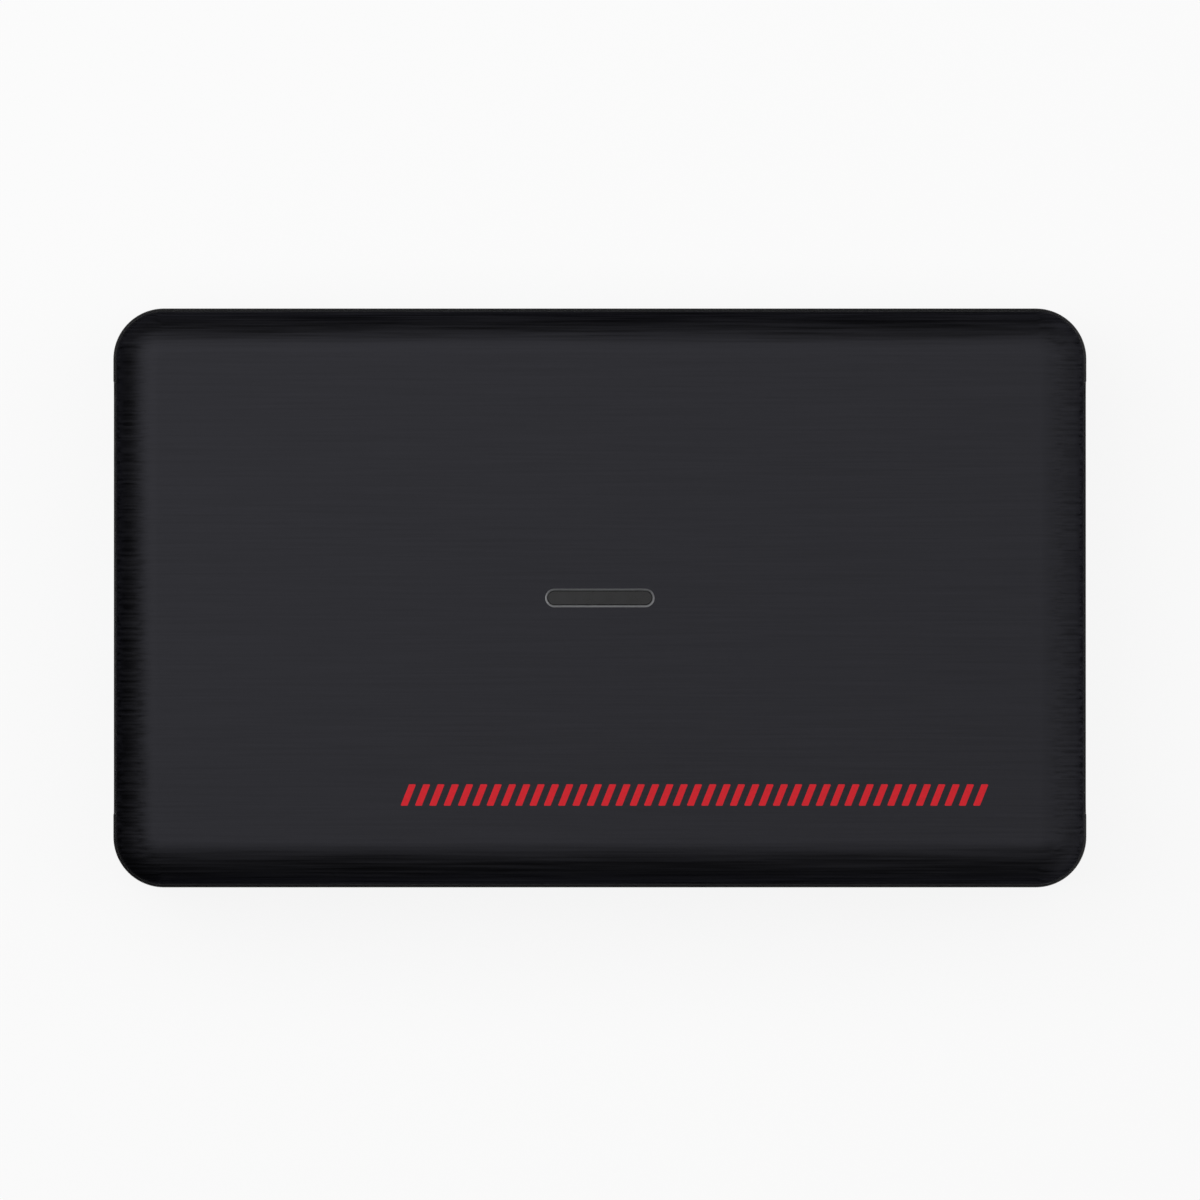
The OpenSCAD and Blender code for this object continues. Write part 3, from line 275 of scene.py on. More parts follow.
def linear(code):
    """An sRGB hex colour as the linear colour that a shader takes."""
    parts = [int(code[i:i + 2], 16) / 255 for i in (1, 3, 5)]
    return [p / 12.92 if p <= 0.04045 else ((p + 0.055) / 1.055) ** 2.4 for p in parts] + [1]


def add_node(tree, kind, inputs=None, **settings):
    """Adds a node, makes its settings, and fills its inputs with values or with links from other nodes' outputs."""
    node = tree.nodes.new(kind)
    for name, value in settings.items():
        setattr(node, name, value)
    for key, value in (inputs or {}).items():
        if isinstance(value, bpy.types.NodeSocket):
            tree.links.new(value, node.inputs[key])
        else:
            node.inputs[key].default_value = value
    return node


def new_finish(name, **sockets):
    """A material with a Principled shader: gives the material, its tree, its shader and the place on it in mm."""
    finish = bpy.data.materials.new(name)
    finish.use_nodes = True
    tree = finish.node_tree
    shader = tree.nodes["Principled BSDF"]
    for key, value in sockets.items():
        shader.inputs[key.replace("_", " ")].default_value = value
    metres = add_node(tree, "ShaderNodeTexCoord").outputs["Object"]
    place = add_node(tree, "ShaderNodeVectorMath", {0: metres, "Scale": 1 / MM}, operation="SCALE").outputs[0]
    return finish, tree, shader, place


def wire(tree, shader, **outputs):
    """Links nodes' outputs to the shader's sockets of those names."""
    for key, output in outputs.items():
        tree.links.new(output, shader.inputs[key.replace("_", " ")])


def grained_finish(name, dark, light, grain, rough, bump, **sockets):
    """A material whose colour and gloss waver over a grain of that many mm, with a bump of that many mm."""
    finish, tree, shader, place = new_finish(name, **sockets)
    cloud = add_node(tree, "ShaderNodeTexNoise", {
        "Vector": place, "Scale": 1 / grain, "Detail": 3, "Roughness": 0.6}).outputs["Fac"]
    spread = add_node(tree, "ShaderNodeMapRange", {"Value": cloud, "From Min": 0.3, "From Max": 0.7}).outputs[0]
    tint = add_node(tree, "ShaderNodeMix", {0: spread, "A": linear(dark), "B": linear(light)},
                    data_type="RGBA").outputs["Result"]
    gloss = add_node(tree, "ShaderNodeMapRange", {
        "Value": spread, "To Min": rough[0], "To Max": rough[1]}).outputs[0]
    relief = add_node(tree, "ShaderNodeBump", {"Height": cloud, "Distance": bump * MM, "Strength": 1}).outputs[0]
    wire(tree, shader, Base_Color=tint, Roughness=gloss, Normal=relief)
    return finish


# Spark-eroded ABS: matt black with a grain about as fine as skin. The real grain is 0.1 mm, too fine to show,
# and is drawn at 0.22 mm.
textured_abs = grained_finish("Black ABS, spark-textured", "#0a0a0b", "#151517",
                              grain=0.22, rough=(0.52, 0.68), bump=0.02, IOR=1.53, Specular_IOR_Level=0.3)
tray.data.materials.append(textured_abs)
hand_over(tray, "base_tray")

# Rubber feet
# Four discs of black nitrile rubber, moulded with a rolled edge and a shallow dish, and glued into beds in the tray.
FOOT_D, FOOT_TOP, FOOT_ROLL, DISH_RIM, DISH_H = 8.0, 1.6, 0.35, 0.8, 0.15
feet = add_rod("feet", FOOT_D, (-FOOT_X, -FOOT_Y, 0), (-FOOT_X, -FOOT_Y, FOOT_TOP))
choose("edges", lambda e: lies_at(e, 2, 0))
round_edges(FOOT_ROLL, segments=4)
choose("faces", lambda f: lies_at(f, 2, 0))
bpy.ops.mesh.inset(thickness=DISH_RIM * MM)
bpy.ops.mesh.inset(thickness=DISH_H * MM)
bpy.ops.transform.translate(value=(0, 0, DISH_H * MM))
close_up()
to_corners(feet, FOOT_X, FOOT_Y)
# Nitrile rubber: a dull charcoal black with a dusty bloom in patches of about a millimetre.
rubber = grained_finish("Nitrile rubber, moulded", "#161616", "#242424",
                        grain=0.9, rough=(0.78, 0.92), bump=0.01, IOR=1.52)
feet.data.materials.append(rubber)
hand_over(feet, "rubber_feet")

# Circuit board
# A four-layer board of glass-fibre epoxy under green solder mask, routed to shape. Four zinc-plated screws hold it on
# the tray's standoffs.
TRACK_L, TRACK_PITCH, TRACK_W, TRACK_RISE = 6.0, 0.8, 0.2, 0.03
VIA_PITCH, VIA_R = 2.4, 0.3


def dress(finish, *names):
    """Gives CAD nodes a finish, and leaves their meshes alone."""
    for name in names:
        for slot in frame["nodes"][name].material_slots:
            slot.material = finish


# Solder mask: glossy bottle green, paler where copper runs under it, with tinned dots where a hole joins two layers.
mask, tree, shader, place = new_finish("FR4 under green solder mask", IOR=1.55)
copper = add_node(tree, "ShaderNodeTexBrick", {
    "Vector": place, "Color1": linear("#123a20"), "Color2": linear("#17482a"), "Mortar": linear("#2f7a48"),
    "Scale": 1, "Mortar Size": TRACK_W / 2, "Mortar Smooth": 0.1, "Brick Width": TRACK_L,
    "Row Height": TRACK_PITCH}, offset=0.35).outputs
hole = add_node(tree, "ShaderNodeTexVoronoi", {"Vector": place, "Scale": 1 / VIA_PITCH}).outputs["Distance"]
dot = add_node(tree, "ShaderNodeMath", {0: hole, 1: VIA_R / VIA_PITCH}, operation="LESS_THAN").outputs[0]
board_tint = add_node(tree, "ShaderNodeMix", {0: dot, "A": copper["Color"], "B": linear("#b9bab5")},
                      data_type="RGBA").outputs["Result"]
board_gloss = add_node(tree, "ShaderNodeMapRange", {
    "Value": copper["Fac"], "To Min": 0.28, "To Max": 0.38}).outputs[0]
board_relief = add_node(tree, "ShaderNodeBump", {"Height": copper["Fac"], "Distance": TRACK_RISE * MM}).outputs[0]
wire(tree, shader, Base_Color=board_tint, Roughness=board_gloss, Normal=board_relief, Metallic=dot)
dress(mask, "circuit_board")
# Bright zinc: a pale bluish metal with a soft bloom.
zinc = grained_finish("Zinc-plated steel", "#aeb4ba", "#c8ccd0",
                      grain=0.3, rough=(0.28, 0.42), bump=0.004, Metallic=1)
dress(zinc, "board_screws")

# Chips, resistors and the capacitors' bases
# The chips are silicon with black epoxy moulded around it under pressure, and the resistors and bases have a skin of
# the same. All are soldered to the board, some of the chips by leads of tinned copper strip.

# Moulded epoxy: charcoal and satin, with a fine flake from the silica in it.
chip_epoxy = grained_finish("Black epoxy, transfer-moulded", "#171718", "#262628",
                            grain=0.18, rough=(0.45, 0.62), bump=0.006, IOR=1.55)
dress(chip_epoxy, "capture_processor", "video_receiver", "flash_memory", "bus_bridge", "memory_chips",
      "loop_splitter", "audio_codec", "voltage_regulators", "surge_arrays", "chip_resistors",
      "bulk_capacitor_bases")
# Tinned strip: a soft whitish metal, a little cloudy from soldering.
tinned_strip = grained_finish("Tinned copper, reflowed", "#aaaba9", "#cdcecb",
                              grain=0.25, rough=(0.25, 0.45), bump=0.003, Metallic=1)
dress(tinned_strip, "video_receiver_leads", "flash_memory_leads", "regulator_leads")

# Heat sink, capacitor cans and crystals
# The sink is a sawn extrusion of aluminium that sits on a soft pad. The capacitors and the crystals have cans that
# are drawn from thin sheet and soldered down.

# Bare aluminium: pale grey with a dull drawn skin.
bare_aluminium = grained_finish("Bare aluminium, extruded", "#a5a8ab", "#c3c5c7",
                                grain=0.4, rough=(0.3, 0.45), bump=0.004, Metallic=1)
dress(bare_aluminium, "heat_sink", "bulk_capacitor_cans", "crystals")
# Silicone pad: soft blue-grey, matt, with pale filler in it.
silicone = grained_finish("Filled silicone, die-cut", "#77869a", "#93a0b0",
                          grain=0.5, rough=(0.7, 0.85), bump=0.02, IOR=1.41)
dress(silicone, "thermal_pad")

# Coils, filters and small capacitors
# The coils and filters are wound in blocks of ferrite, and the capacitors are stacks of barium ceramic. Both are
# pressed from powder and fired, and soldered to the board.

# Ferrite: dark slate with a fine sintered grit.
ferrite = grained_finish("Ferrite, sintered", "#2c2b2e", "#434246",
                         grain=0.2, rough=(0.5, 0.68), bump=0.012, IOR=2.3)
dress(ferrite, "power_inductors", "line_filters")
# Capacitor ceramic: biscuit brown with a faint glaze.
capacitor_ceramic = grained_finish("Barium ceramic, fired", "#8f7250", "#b29268",
                                   grain=0.25, rough=(0.4, 0.55), bump=0.006, IOR=1.9)
dress(capacitor_ceramic, "ceramic_capacitors")

# Video and data sockets
# Each is a shell, stamped from nickel-plated steel strip, around a moulded insulator with a tongue. Gold-flashed
# contacts lie on the tongue, and the shell is soldered to the board.
SHELL_EDGE = 0.08
FLAT_ANGLE = 0.2  # triangles that differ by fewer degrees than this lie in one face


def bench_copy(node):
    """A copy of a CAD node with its loose triangles merged into whole faces, to be worked on."""
    pick(frame["nodes"][node])
    bpy.ops.object.duplicate()
    piece = bpy.context.object
    piece.name = piece.data.name = node + ".piece"
    del piece["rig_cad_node"]  # the copy is a new piece
    piece.data.materials.clear()
    bpy.ops.mesh.customdata_custom_splitnormals_clear()
    bpy.ops.object.mode_set(mode="EDIT")
    bpy.ops.mesh.select_all(action="SELECT")
    bpy.ops.mesh.remove_doubles(threshold=TOUCH * MM)
    bpy.ops.mesh.dissolve_limited(angle_limit=math.radians(FLAT_ANGLE))
    close_up()
    return piece


# Nickel plate: a warm pale metal, satin from the rolled strip, with fingerprints' worth of haze.
nickel = grained_finish("Nickel-plated steel, stamped", "#a49f95", "#c4bfb5",
                        grain=0.6, rough=(0.22, 0.36), bump=0.002, Metallic=1)
for node in ("video_in_shell", "video_out_shell", "data_shell"):
    shell = bench_copy(node)
    soften(shell, SHELL_EDGE)
    shell.data.materials.append(nickel)
    hand_over(shell, node)
# Glass-filled nylon: a dull black, faintly mottled by the fibres.
black_nylon = grained_finish("Black nylon, glass-filled", "#131315", "#1e1e21",
                             grain=0.3, rough=(0.5, 0.66), bump=0.01, IOR=1.53)
# The data socket's nylon is dyed a strong blue.
blue_nylon = grained_finish("Blue nylon, glass-filled", "#174694", "#2158a8",
                            grain=0.3, rough=(0.45, 0.6), bump=0.01, IOR=1.53)
for node, nylon, slot in (("video_in_insulator", black_nylon, "black_nylon"),
                          ("video_out_insulator", black_nylon, "black_nylon"),
                          ("data_insulator", blue_nylon, "blue_nylon")):
    insulator = bench_copy(node)
    insulator.data.materials.append(nylon)
    hand_over(insulator, node)
# Gold flash: thin, so a little pale, and polished by plugs.
gold_flash = grained_finish("Gold flash over nickel", "#c79f4c", "#e0bd6e",
                            grain=0.3, rough=(0.18, 0.32), bump=0.002, Metallic=1)
dress(gold_flash, "video_in_contacts", "video_out_contacts", "data_contacts")

# Audio jacks
# Each is a moulded nylon body with three bronze springs, and a ferrule, turned and nickel-plated, that guides the
# plug. The body is soldered to the board.
JACK_X, MIC_Y, HEADPHONE_Y = -49.4, -4.5, -14.0
FERRULE_L, FERRULE_D, FERRULE_WALL, FERRULE_RIM = 3.6, 4.9, 0.65, 0.12
RING_PITCH, RING_DEPTH = 0.25, 0.004
WAVE_PITCH = 2 * math.pi / 20  # the wave texture's bands are this far apart at a scale of 1
for node in ("mic_jack_body", "headphone_jack_body"):
    body = bench_copy(node)
    body.data.materials.append(black_nylon)
    hand_over(body, node)
# Phosphor bronze: a reddish straw metal with a smooth rolled skin.
bronze = grained_finish("Phosphor bronze, rolled", "#9c7a46", "#c09a60",
                        grain=0.4, rough=(0.25, 0.4), bump=0.003, Metallic=1)
dress(bronze, "mic_jack_springs", "headphone_jack_springs")
ferrule = add_rod("mic_ferrule", FERRULE_D, (JACK_X, MIC_Y, SPLIT_Z), (JACK_X + FERRULE_L, MIC_Y, SPLIT_Z),
                  turn=(0, math.pi / 2, 0))
choose("faces", lambda f: lies_at(f, 0, JACK_X) or lies_at(f, 0, JACK_X + FERRULE_L))
bpy.ops.mesh.inset(thickness=FERRULE_WALL * MM, use_individual=True)
bpy.ops.mesh.bridge_edge_loops()
close_up()
soften(ferrule, FERRULE_RIM, segments=3)
# Turned nickel: bright, with rings from the lathe tool. They are 0.05 mm apart, too fine to show, and drawn at 0.25.
turned, tree, shader, place = new_finish("Nickel-plated brass, turned", Metallic=1, Roughness=0.22)
rings = add_node(tree, "ShaderNodeTexWave", {
    "Vector": place, "Scale": WAVE_PITCH / RING_PITCH, "Distortion": 0.6, "Detail": 1},
    bands_direction="X").outputs["Fac"]
ring_tint = add_node(tree, "ShaderNodeMix", {0: rings, "A": linear("#a9a59c"), "B": linear("#c6c2b9")},
                     data_type="RGBA").outputs["Result"]
ring_relief = add_node(tree, "ShaderNodeBump", {"Height": rings, "Distance": RING_DEPTH * MM}).outputs[0]
wire(tree, shader, Base_Color=ring_tint, Normal=ring_relief)
ferrule.data.materials.append(turned)
second_ferrule = moved_copy(ferrule, (0, HEADPHONE_Y - MIC_Y, 0))
second_ferrule.name = second_ferrule.data.name = "headphone_ferrule"
hand_over(ferrule, "mic_jack_ferrule")
hand_over(second_ferrule, "headphone_jack_ferrule")

# End panels
# Two plates of black ABS that slide down between the tray's ribs; the sockets look out of their openings.
PANEL_X, PANEL_Y, PANEL_H, PANEL_R = 49.4, 22.0, 8.6, 1.4
FLANGE_BACK, FLANGE_FRONT, FLANGE_Y, FLANGE_TOP = 46.5, 48.1, 23.2, 15.2
FACE_ROOT = 0.8  # how deep the face is rooted in the flange
VIDEO_W, VIDEO_H, VIDEO_SLANT, DATA_W, DATA_H = 15.0, 5.55, 2.243, 13.5, 6.12
VIDEO_IN_Y, VIDEO_OUT_Y, DATA_Y, NOSE_D = 9.5, -9.0, 9.5, 6.3
PANEL_EDGE = 0.15


def blank_panel(name, side):
    """A panel with no openings yet: a face with round corners on a square flange."""
    face = add_box(name, *zip(sorted((side * (FLANGE_FRONT - FACE_ROOT), side * PANEL_X)), (-PANEL_Y, PANEL_Y),
                              (SPLIT_Z - PANEL_H / 2, SPLIT_Z + PANEL_H / 2)))
    choose("edges", lambda e: runs_along(e, 0))
    round_edges(PANEL_R, segments=8)
    close_up()
    flange = add_box("flange", *zip(sorted((side * FLANGE_BACK, side * FLANGE_FRONT)), (-FLANGE_Y, FLANGE_Y),
                                    (FLOOR_Z, FLANGE_TOP)))
    close_up()
    combine(face, flange, "UNION")
    return face


def mouth_tool(side, y, width, height, slant):
    """A bar with the outline of a socket's mouth; its lower corners are slanted where the socket's are."""
    tool = add_box("mouth", *zip(sorted((side * (FLANGE_BACK - SPARE), side * (PANEL_X + SPARE))),
                                 (y - width / 2, y + width / 2), (SPLIT_Z - height / 2, SPLIT_Z + height / 2)))
    if slant:
        choose("edges", lambda e: runs_along(e, 0) and e.verts[0].co.z < SPLIT_Z * MM)
        round_edges(slant, segments=1)
    close_up()
    return tool


input_plate = blank_panel("input_plate", -1)
combine(input_plate, mouth_tool(-1, VIDEO_IN_Y, VIDEO_W, VIDEO_H, VIDEO_SLANT), "DIFFERENCE")
for y in (MIC_Y, HEADPHONE_Y):
    nose_tool = add_rod("nose_tool", NOSE_D, (-PANEL_X - SPARE, y, SPLIT_Z), (-FLANGE_BACK + SPARE, y, SPLIT_Z),
                        turn=(0, math.pi / 2, 0))
    close_up()
    combine(input_plate, nose_tool, "DIFFERENCE")
output_plate = blank_panel("output_plate", 1)
combine(output_plate, mouth_tool(1, VIDEO_OUT_Y, VIDEO_W, VIDEO_H, VIDEO_SLANT), "DIFFERENCE")
combine(output_plate, mouth_tool(1, DATA_Y, DATA_W, DATA_H, 0), "DIFFERENCE")
# The panels' mould is polished further than the tray's: a closer, smoother satin black.
satin_abs = grained_finish("Black ABS, satin", "#0e0e0f", "#161618",
                           grain=0.16, rough=(0.36, 0.46), bump=0.006, IOR=1.53)
for plate, node in ((input_plate, "input_panel"), (output_plate, "output_panel")):
    soften(plate, PANEL_EDGE)
    plate.data.materials.append(satin_abs)
    hand_over(plate, node)

# Panel marks
# Small pictograms beside the sockets tell the plugs apart: an arrow in, a microphone and headphones at one end, an
# arrow out and an arrow both ways at the other. They are pad-printed in white ink.
MARK_T, STROKE = 0.02, 0.32
ARROW_HEAD, ARROW_SLANT = 0.75, 0.97  # a head's length, and the share of it that its slanted sides take
IN_ARROW, OUT_ARROW, DATA_ARROWS = (20.9, 18.1), (-17.8, -20.6), ((19.2, 20.8), (19.2, 17.6))  # tail and tip
MIC_MARK_Y, CAPSULE_W, CAPSULE_H, CAPSULE_ROUND = 0.35, 0.9, 1.8, 0.48
CRADLE_R, CRADLE_Z, STEM_H, STAND_W = 0.95, 10.0, 0.6, 1.2
HEADPHONE_MARK_Y, BAND_R, PAD_W, PAD_H, PAD_GAP = -19.5, 1.5, 0.7, 1.1, 0.05


def mark_bar(side, y, z):
    """A bar of ink on a panel, open in edit mode."""
    return add_box("bar", *zip(sorted((side * PANEL_X, side * (PANEL_X + MARK_T))), sorted(y), sorted(z)))


def mark_arrow(side, tail, tip):
    """An arrow of ink along a panel, closed."""
    neck = tip - math.copysign(ARROW_HEAD, tip - tail)
    shaft = mark_bar(side, (tail, neck), (SPLIT_Z - STROKE / 2, SPLIT_Z + STROKE / 2))
    close_up()
    head = mark_bar(side, (neck, tip), (SPLIT_Z - ARROW_HEAD, SPLIT_Z + ARROW_HEAD))
    choose("edges", lambda e: runs_along(e, 0) and lies_at(e, 1, tip))
    round_edges(ARROW_SLANT * ARROW_HEAD, segments=1)
    close_up()
    return join(shaft, head)


def mark_arch(side, y, z, radius, open_end):
    """Half a ring of ink that opens downwards (-1) or upwards (1), closed."""
    low, high = side * PANEL_X, side * (PANEL_X + MARK_T)
    arch = add_rod("arch", 2 * radius, (low, y, z), (high, y, z), turn=(0, math.pi / 2, 0), sides=48)
    choose("faces", lambda f: lies_at(f, 0, low) or lies_at(f, 0, high))
    bpy.ops.mesh.inset(thickness=STROKE * MM, use_individual=True)
    bpy.ops.mesh.bridge_edge_loops()
    bpy.ops.mesh.select_all(action="SELECT")
    cut_z = z - open_end * MARK_T  # a hair off the middle, clear of the ring's own points
    bpy.ops.mesh.bisect(plane_co=(0, 0, cut_z * MM), plane_no=(0, 0, open_end), clear_outer=True)
    bpy.ops.mesh.select_all(action="SELECT")
    bpy.ops.mesh.fill_holes(sides=4)
    close_up()
    return arch


capsule = mark_bar(-1, (MIC_MARK_Y - CAPSULE_W / 2, MIC_MARK_Y + CAPSULE_W / 2),
                   (CRADLE_Z - CAPSULE_W / 2, CRADLE_Z - CAPSULE_W / 2 + CAPSULE_H))
choose("edges", lambda e: runs_along(e, 0))
round_edges(CAPSULE_ROUND * CAPSULE_W, segments=6)
close_up()
stem_top = CRADLE_Z - CRADLE_R
stem = mark_bar(-1, (MIC_MARK_Y - STROKE / 2, MIC_MARK_Y + STROKE / 2), (stem_top - STEM_H, stem_top))
close_up()
stand = mark_bar(-1, (MIC_MARK_Y - STAND_W / 2, MIC_MARK_Y + STAND_W / 2),
                 (stem_top - STEM_H - STROKE, stem_top - STEM_H))
close_up()
pads = []
for side in (-1, 1):
    pad_y = HEADPHONE_MARK_Y + side * (BAND_R - STROKE / 2)
    pads.append(mark_bar(-1, (pad_y - PAD_W / 2, pad_y + PAD_W / 2),
                         (SPLIT_Z - PAD_GAP - PAD_H, SPLIT_Z - PAD_GAP)))
    choose("edges", lambda e: runs_along(e, 0))
    round_edges(STROKE / 2, segments=4)
    close_up()
input_marks = join(mark_arrow(-1, *IN_ARROW), capsule, mark_arch(-1, MIC_MARK_Y, CRADLE_Z, CRADLE_R, 1), stem,
                   stand, mark_arch(-1, HEADPHONE_MARK_Y, SPLIT_Z, BAND_R, -1), *pads)
input_marks.name = input_marks.data.name = "input_marks"
output_marks = join(mark_arrow(1, *OUT_ARROW), *[mark_arrow(1, *arrow) for arrow in DATA_ARROWS])
output_marks.name = output_marks.data.name = "output_marks"
# White pad-printing ink: matt, thin enough to let a little of the black through.
white_ink = grained_finish("White epoxy ink, pad-printed", "#c4c4c3", "#d6d6d5",
                           grain=0.4, rough=(0.5, 0.62), bump=0.002)
for marks in (input_marks, output_marks):
    marks.data.materials.append(white_ink)
    hand_over(marks)

# Status light
# Three lamps on the board shine into a light pipe of smoked polycarbonate; tape holds its flange under the roof.
LENS_EDGE = 0.03
lens = bench_copy("light_pipe")
soften(lens, LENS_EDGE, segments=3)
# Smoked polycarbonate: nearly black until lit, glossy, with faint flow marks.
smoked = grained_finish("Smoked polycarbonate, moulded", "#121213", "#18181a",
                        grain=1.5, rough=(0.14, 0.2), bump=0.002, IOR=1.585, Specular_IOR_Level=0.21)
lens.data.materials.append(smoked)
hand_over(lens, "light_pipe")
# Acrylic foam tape: matt dark grey with open cells at its cut edge.
foam_tape = grained_finish("Acrylic foam tape, die-cut", "#1f1f1f", "#2e2e2e",
                           grain=0.3, rough=(0.75, 0.9), bump=0.02, IOR=1.48)
dress(foam_tape, "light_pipe_tape")
# Lamp resin: cloudy cream from the phosphor in it.
lamp_resin = grained_finish("Phosphor resin, cast", "#e6dcb0", "#f2ebce",
                            grain=0.2, rough=(0.25, 0.35), bump=0.003, IOR=1.5)
dress(lamp_resin, "status_lamps")

# Cover
# The upper half of the case: a shell of black aluminium with a soft rolled edge, brushed along its length before it
# was anodised. Four posts under its roof take the screws, and the slot for the lens was milled last.
LID_INSET, LID_CORNER_R, LID_EDGE_R, LID_WALL, LID_BREAK = 0.3, 4.9, 4.5, 1.5, 0.1
ROOF_Z, TOP_Z = 18.2, 20.0
INK_T = 0.015  # the print on the lid stands this proud, so the lid stops short of the box's top by it
LID_TOP = TOP_Z - INK_T
POST_D, POST_HOLE_D, POST_HOLE_Z = 5.6, 2.54, 13.8
SLOT_L, SLOT_W, SLOT_RIM = 10.8, 1.5, 0.2
lid_x, lid_y = CASE_L / 2 - LID_INSET, CASE_W / 2 - LID_INSET
lid = add_box("lid", (-lid_x, -lid_y, SPLIT_Z), (lid_x, lid_y, LID_TOP))
choose("edges", lambda e: runs_along(e, 2))
round_edges(LID_CORNER_R, segments=24)
choose("edges", lambda e: lies_at(e, 2, LID_TOP))
round_edges(LID_EDGE_R, segments=24)
choose("faces", lambda f: lies_at(f, 2, SPLIT_Z))
bpy.ops.mesh.inset(thickness=LID_WALL * MM)
bpy.ops.mesh.extrude_region_move(TRANSFORM_OT_translate={"value": (0, 0, (ROOF_Z - SPLIT_Z) * MM)})
choose("edges", lambda e: lies_at(e, 2, ROOF_Z))
round_edges(LID_EDGE_R - LID_WALL, segments=8)
close_up()
combine(lid, window_tool(), "DIFFERENCE")
post = add_rod("post", POST_D, (-POST_X, -POST_Y, BOSS_Z), (-POST_X, -POST_Y, ROOF_Z + ROOT))
close_up()
combine(lid, to_corners(post, POST_X, POST_Y), "UNION")
post_hole = add_rod("post_hole", POST_HOLE_D, (-POST_X, -POST_Y, BOSS_Z - SPARE), (-POST_X, -POST_Y, POST_HOLE_Z))
close_up()
combine(lid, to_corners(post_hole, POST_X, POST_Y), "DIFFERENCE")
soften(lid, LID_BREAK)

# Brushed and anodised: a blue-black sheen that dies away quickly where the edge rolls over, drawn into hair lines
# along the case. The lines are about 0.05 mm wide, too fine to show, and are drawn 0.3 mm wide and 16 mm long.
# They hardly show on the flat. Where the edge rolls over, their contrast in colour is widened: painted glints of the
# low light on the lines.
LINE_L, LINE_W, LINE_DEPTH = 16.0, 0.3, 0.008
brushed, tree, shader, place = new_finish("Black anodised aluminium, brushed", Metallic=1, Anisotropic=0.16,
                                          Specular_Tint=linear("#969696"))
at = add_node(tree, "ShaderNodeSeparateXYZ", {0: place}).outputs
normal = add_node(tree, "ShaderNodeNewGeometry").outputs["Normal"]
facing = add_node(tree, "ShaderNodeSeparateXYZ", {0: normal}).outputs
end_on = add_node(tree, "ShaderNodeMath", {0: facing["X"]}, operation="ABSOLUTE").outputs[0]
side_on = add_node(tree, "ShaderNodeMath", {0: 1, 1: end_on}, operation="SUBTRACT").outputs[0]
depth = add_node(tree, "ShaderNodeMath", {0: at["Z"], 1: TOP_Z}, operation="SUBTRACT").outputs[0]
drop = add_node(tree, "ShaderNodeMath", {0: depth, 1: side_on}, operation="MULTIPLY").outputs[0]
# Over the two ends the lines run on downwards, so that height counts for nothing there.
along = add_node(tree, "ShaderNodeCombineXYZ", {"X": at["X"], "Y": at["Y"], "Z": drop}).outputs[0]
stretched = add_node(tree, "ShaderNodeVectorMath", {0: along, 1: (1 / LINE_L, 1 / LINE_W, 1 / LINE_W)},
                     operation="MULTIPLY").outputs[0]
lines = add_node(tree, "ShaderNodeTexNoise", {
    "Vector": stretched, "Scale": 1, "Detail": 3, "Roughness": 0.6}).outputs["Fac"]
line = add_node(tree, "ShaderNodeMapRange", {"Value": lines, "From Min": 0.3, "From Max": 0.7}).outputs[0]
# The lines' contrast grows from 0.3 on the flat to 1 where the edge rolls over: painted glints of light on the lines
# there.
rolled = add_node(tree, "ShaderNodeMapRange", {
    "Value": facing["Z"], "From Min": 1, "From Max": 0.9, "To Min": 0.3, "To Max": 1}).outputs[0]
centred = add_node(tree, "ShaderNodeMath", {0: line, 1: 0.5}, operation="SUBTRACT").outputs[0]
swing_and_painted_glint = add_node(tree, "ShaderNodeMath", {0: centred, 1: rolled}, operation="MULTIPLY").outputs[0]
streak_and_painted_glint = add_node(tree, "ShaderNodeMath", {0: swing_and_painted_glint, 1: 0.5}, operation="ADD").outputs[0]
# The lid's colour carries the grain of the lines, and the painted glints on them where the edge rolls over.
lid_tint_and_painted_glint = add_node(tree, "ShaderNodeMix", {0: streak_and_painted_glint, "A": linear("#242427"), "B": linear("#3a3a3f")},
                    data_type="RGBA").outputs["Result"]
lid_gloss = add_node(tree, "ShaderNodeMapRange", {"Value": streak_and_painted_glint, "To Min": 0.46, "To Max": 0.66}).outputs[0]
lid_relief = add_node(tree, "ShaderNodeBump", {"Height": lines, "Distance": LINE_DEPTH * MM}).outputs[0]
brush_way = add_node(tree, "ShaderNodeTangent", direction_type="RADIAL", axis="X").outputs[0]
wire(tree, shader, Base_Color=lid_tint_and_painted_glint, Roughness=lid_gloss, Normal=lid_relief, Tangent=brush_way)
lid.data.materials.append(brushed)
# Milled edge: bright bare aluminium with fine tool marks.
milled = grained_finish("Bare aluminium, milled", "#bcbdc0", "#cbccce",
                        grain=0.15, rough=(0.54, 0.62), bump=0.003, Metallic=1)
# The cutter tapers from above the lid to the slot's own width below it, and leaves a slanted rim.
slot_tool = pill_tool("slot_tool", (0, 0), SLOT_L + 4 * SLOT_RIM, SLOT_W + 4 * SLOT_RIM,
                      LID_TOP + SLOT_RIM, TOP_Z + SPARE, along=0)
bpy.ops.object.mode_set(mode="EDIT")
choose("faces", lambda f: lies_at(f, 2, LID_TOP + SLOT_RIM))
bpy.ops.mesh.inset(thickness=2 * SLOT_RIM * MM, depth=2 * SLOT_RIM * MM)
bpy.ops.mesh.extrude_region_move(TRANSFORM_OT_translate={"value": (0, 0, (ROOF_Z - TOP_Z - SPARE) * MM)})
close_up()
slot_tool.data.materials.append(milled)
combine(lid, slot_tool, "DIFFERENCE")
hand_over(lid, "top_cover")

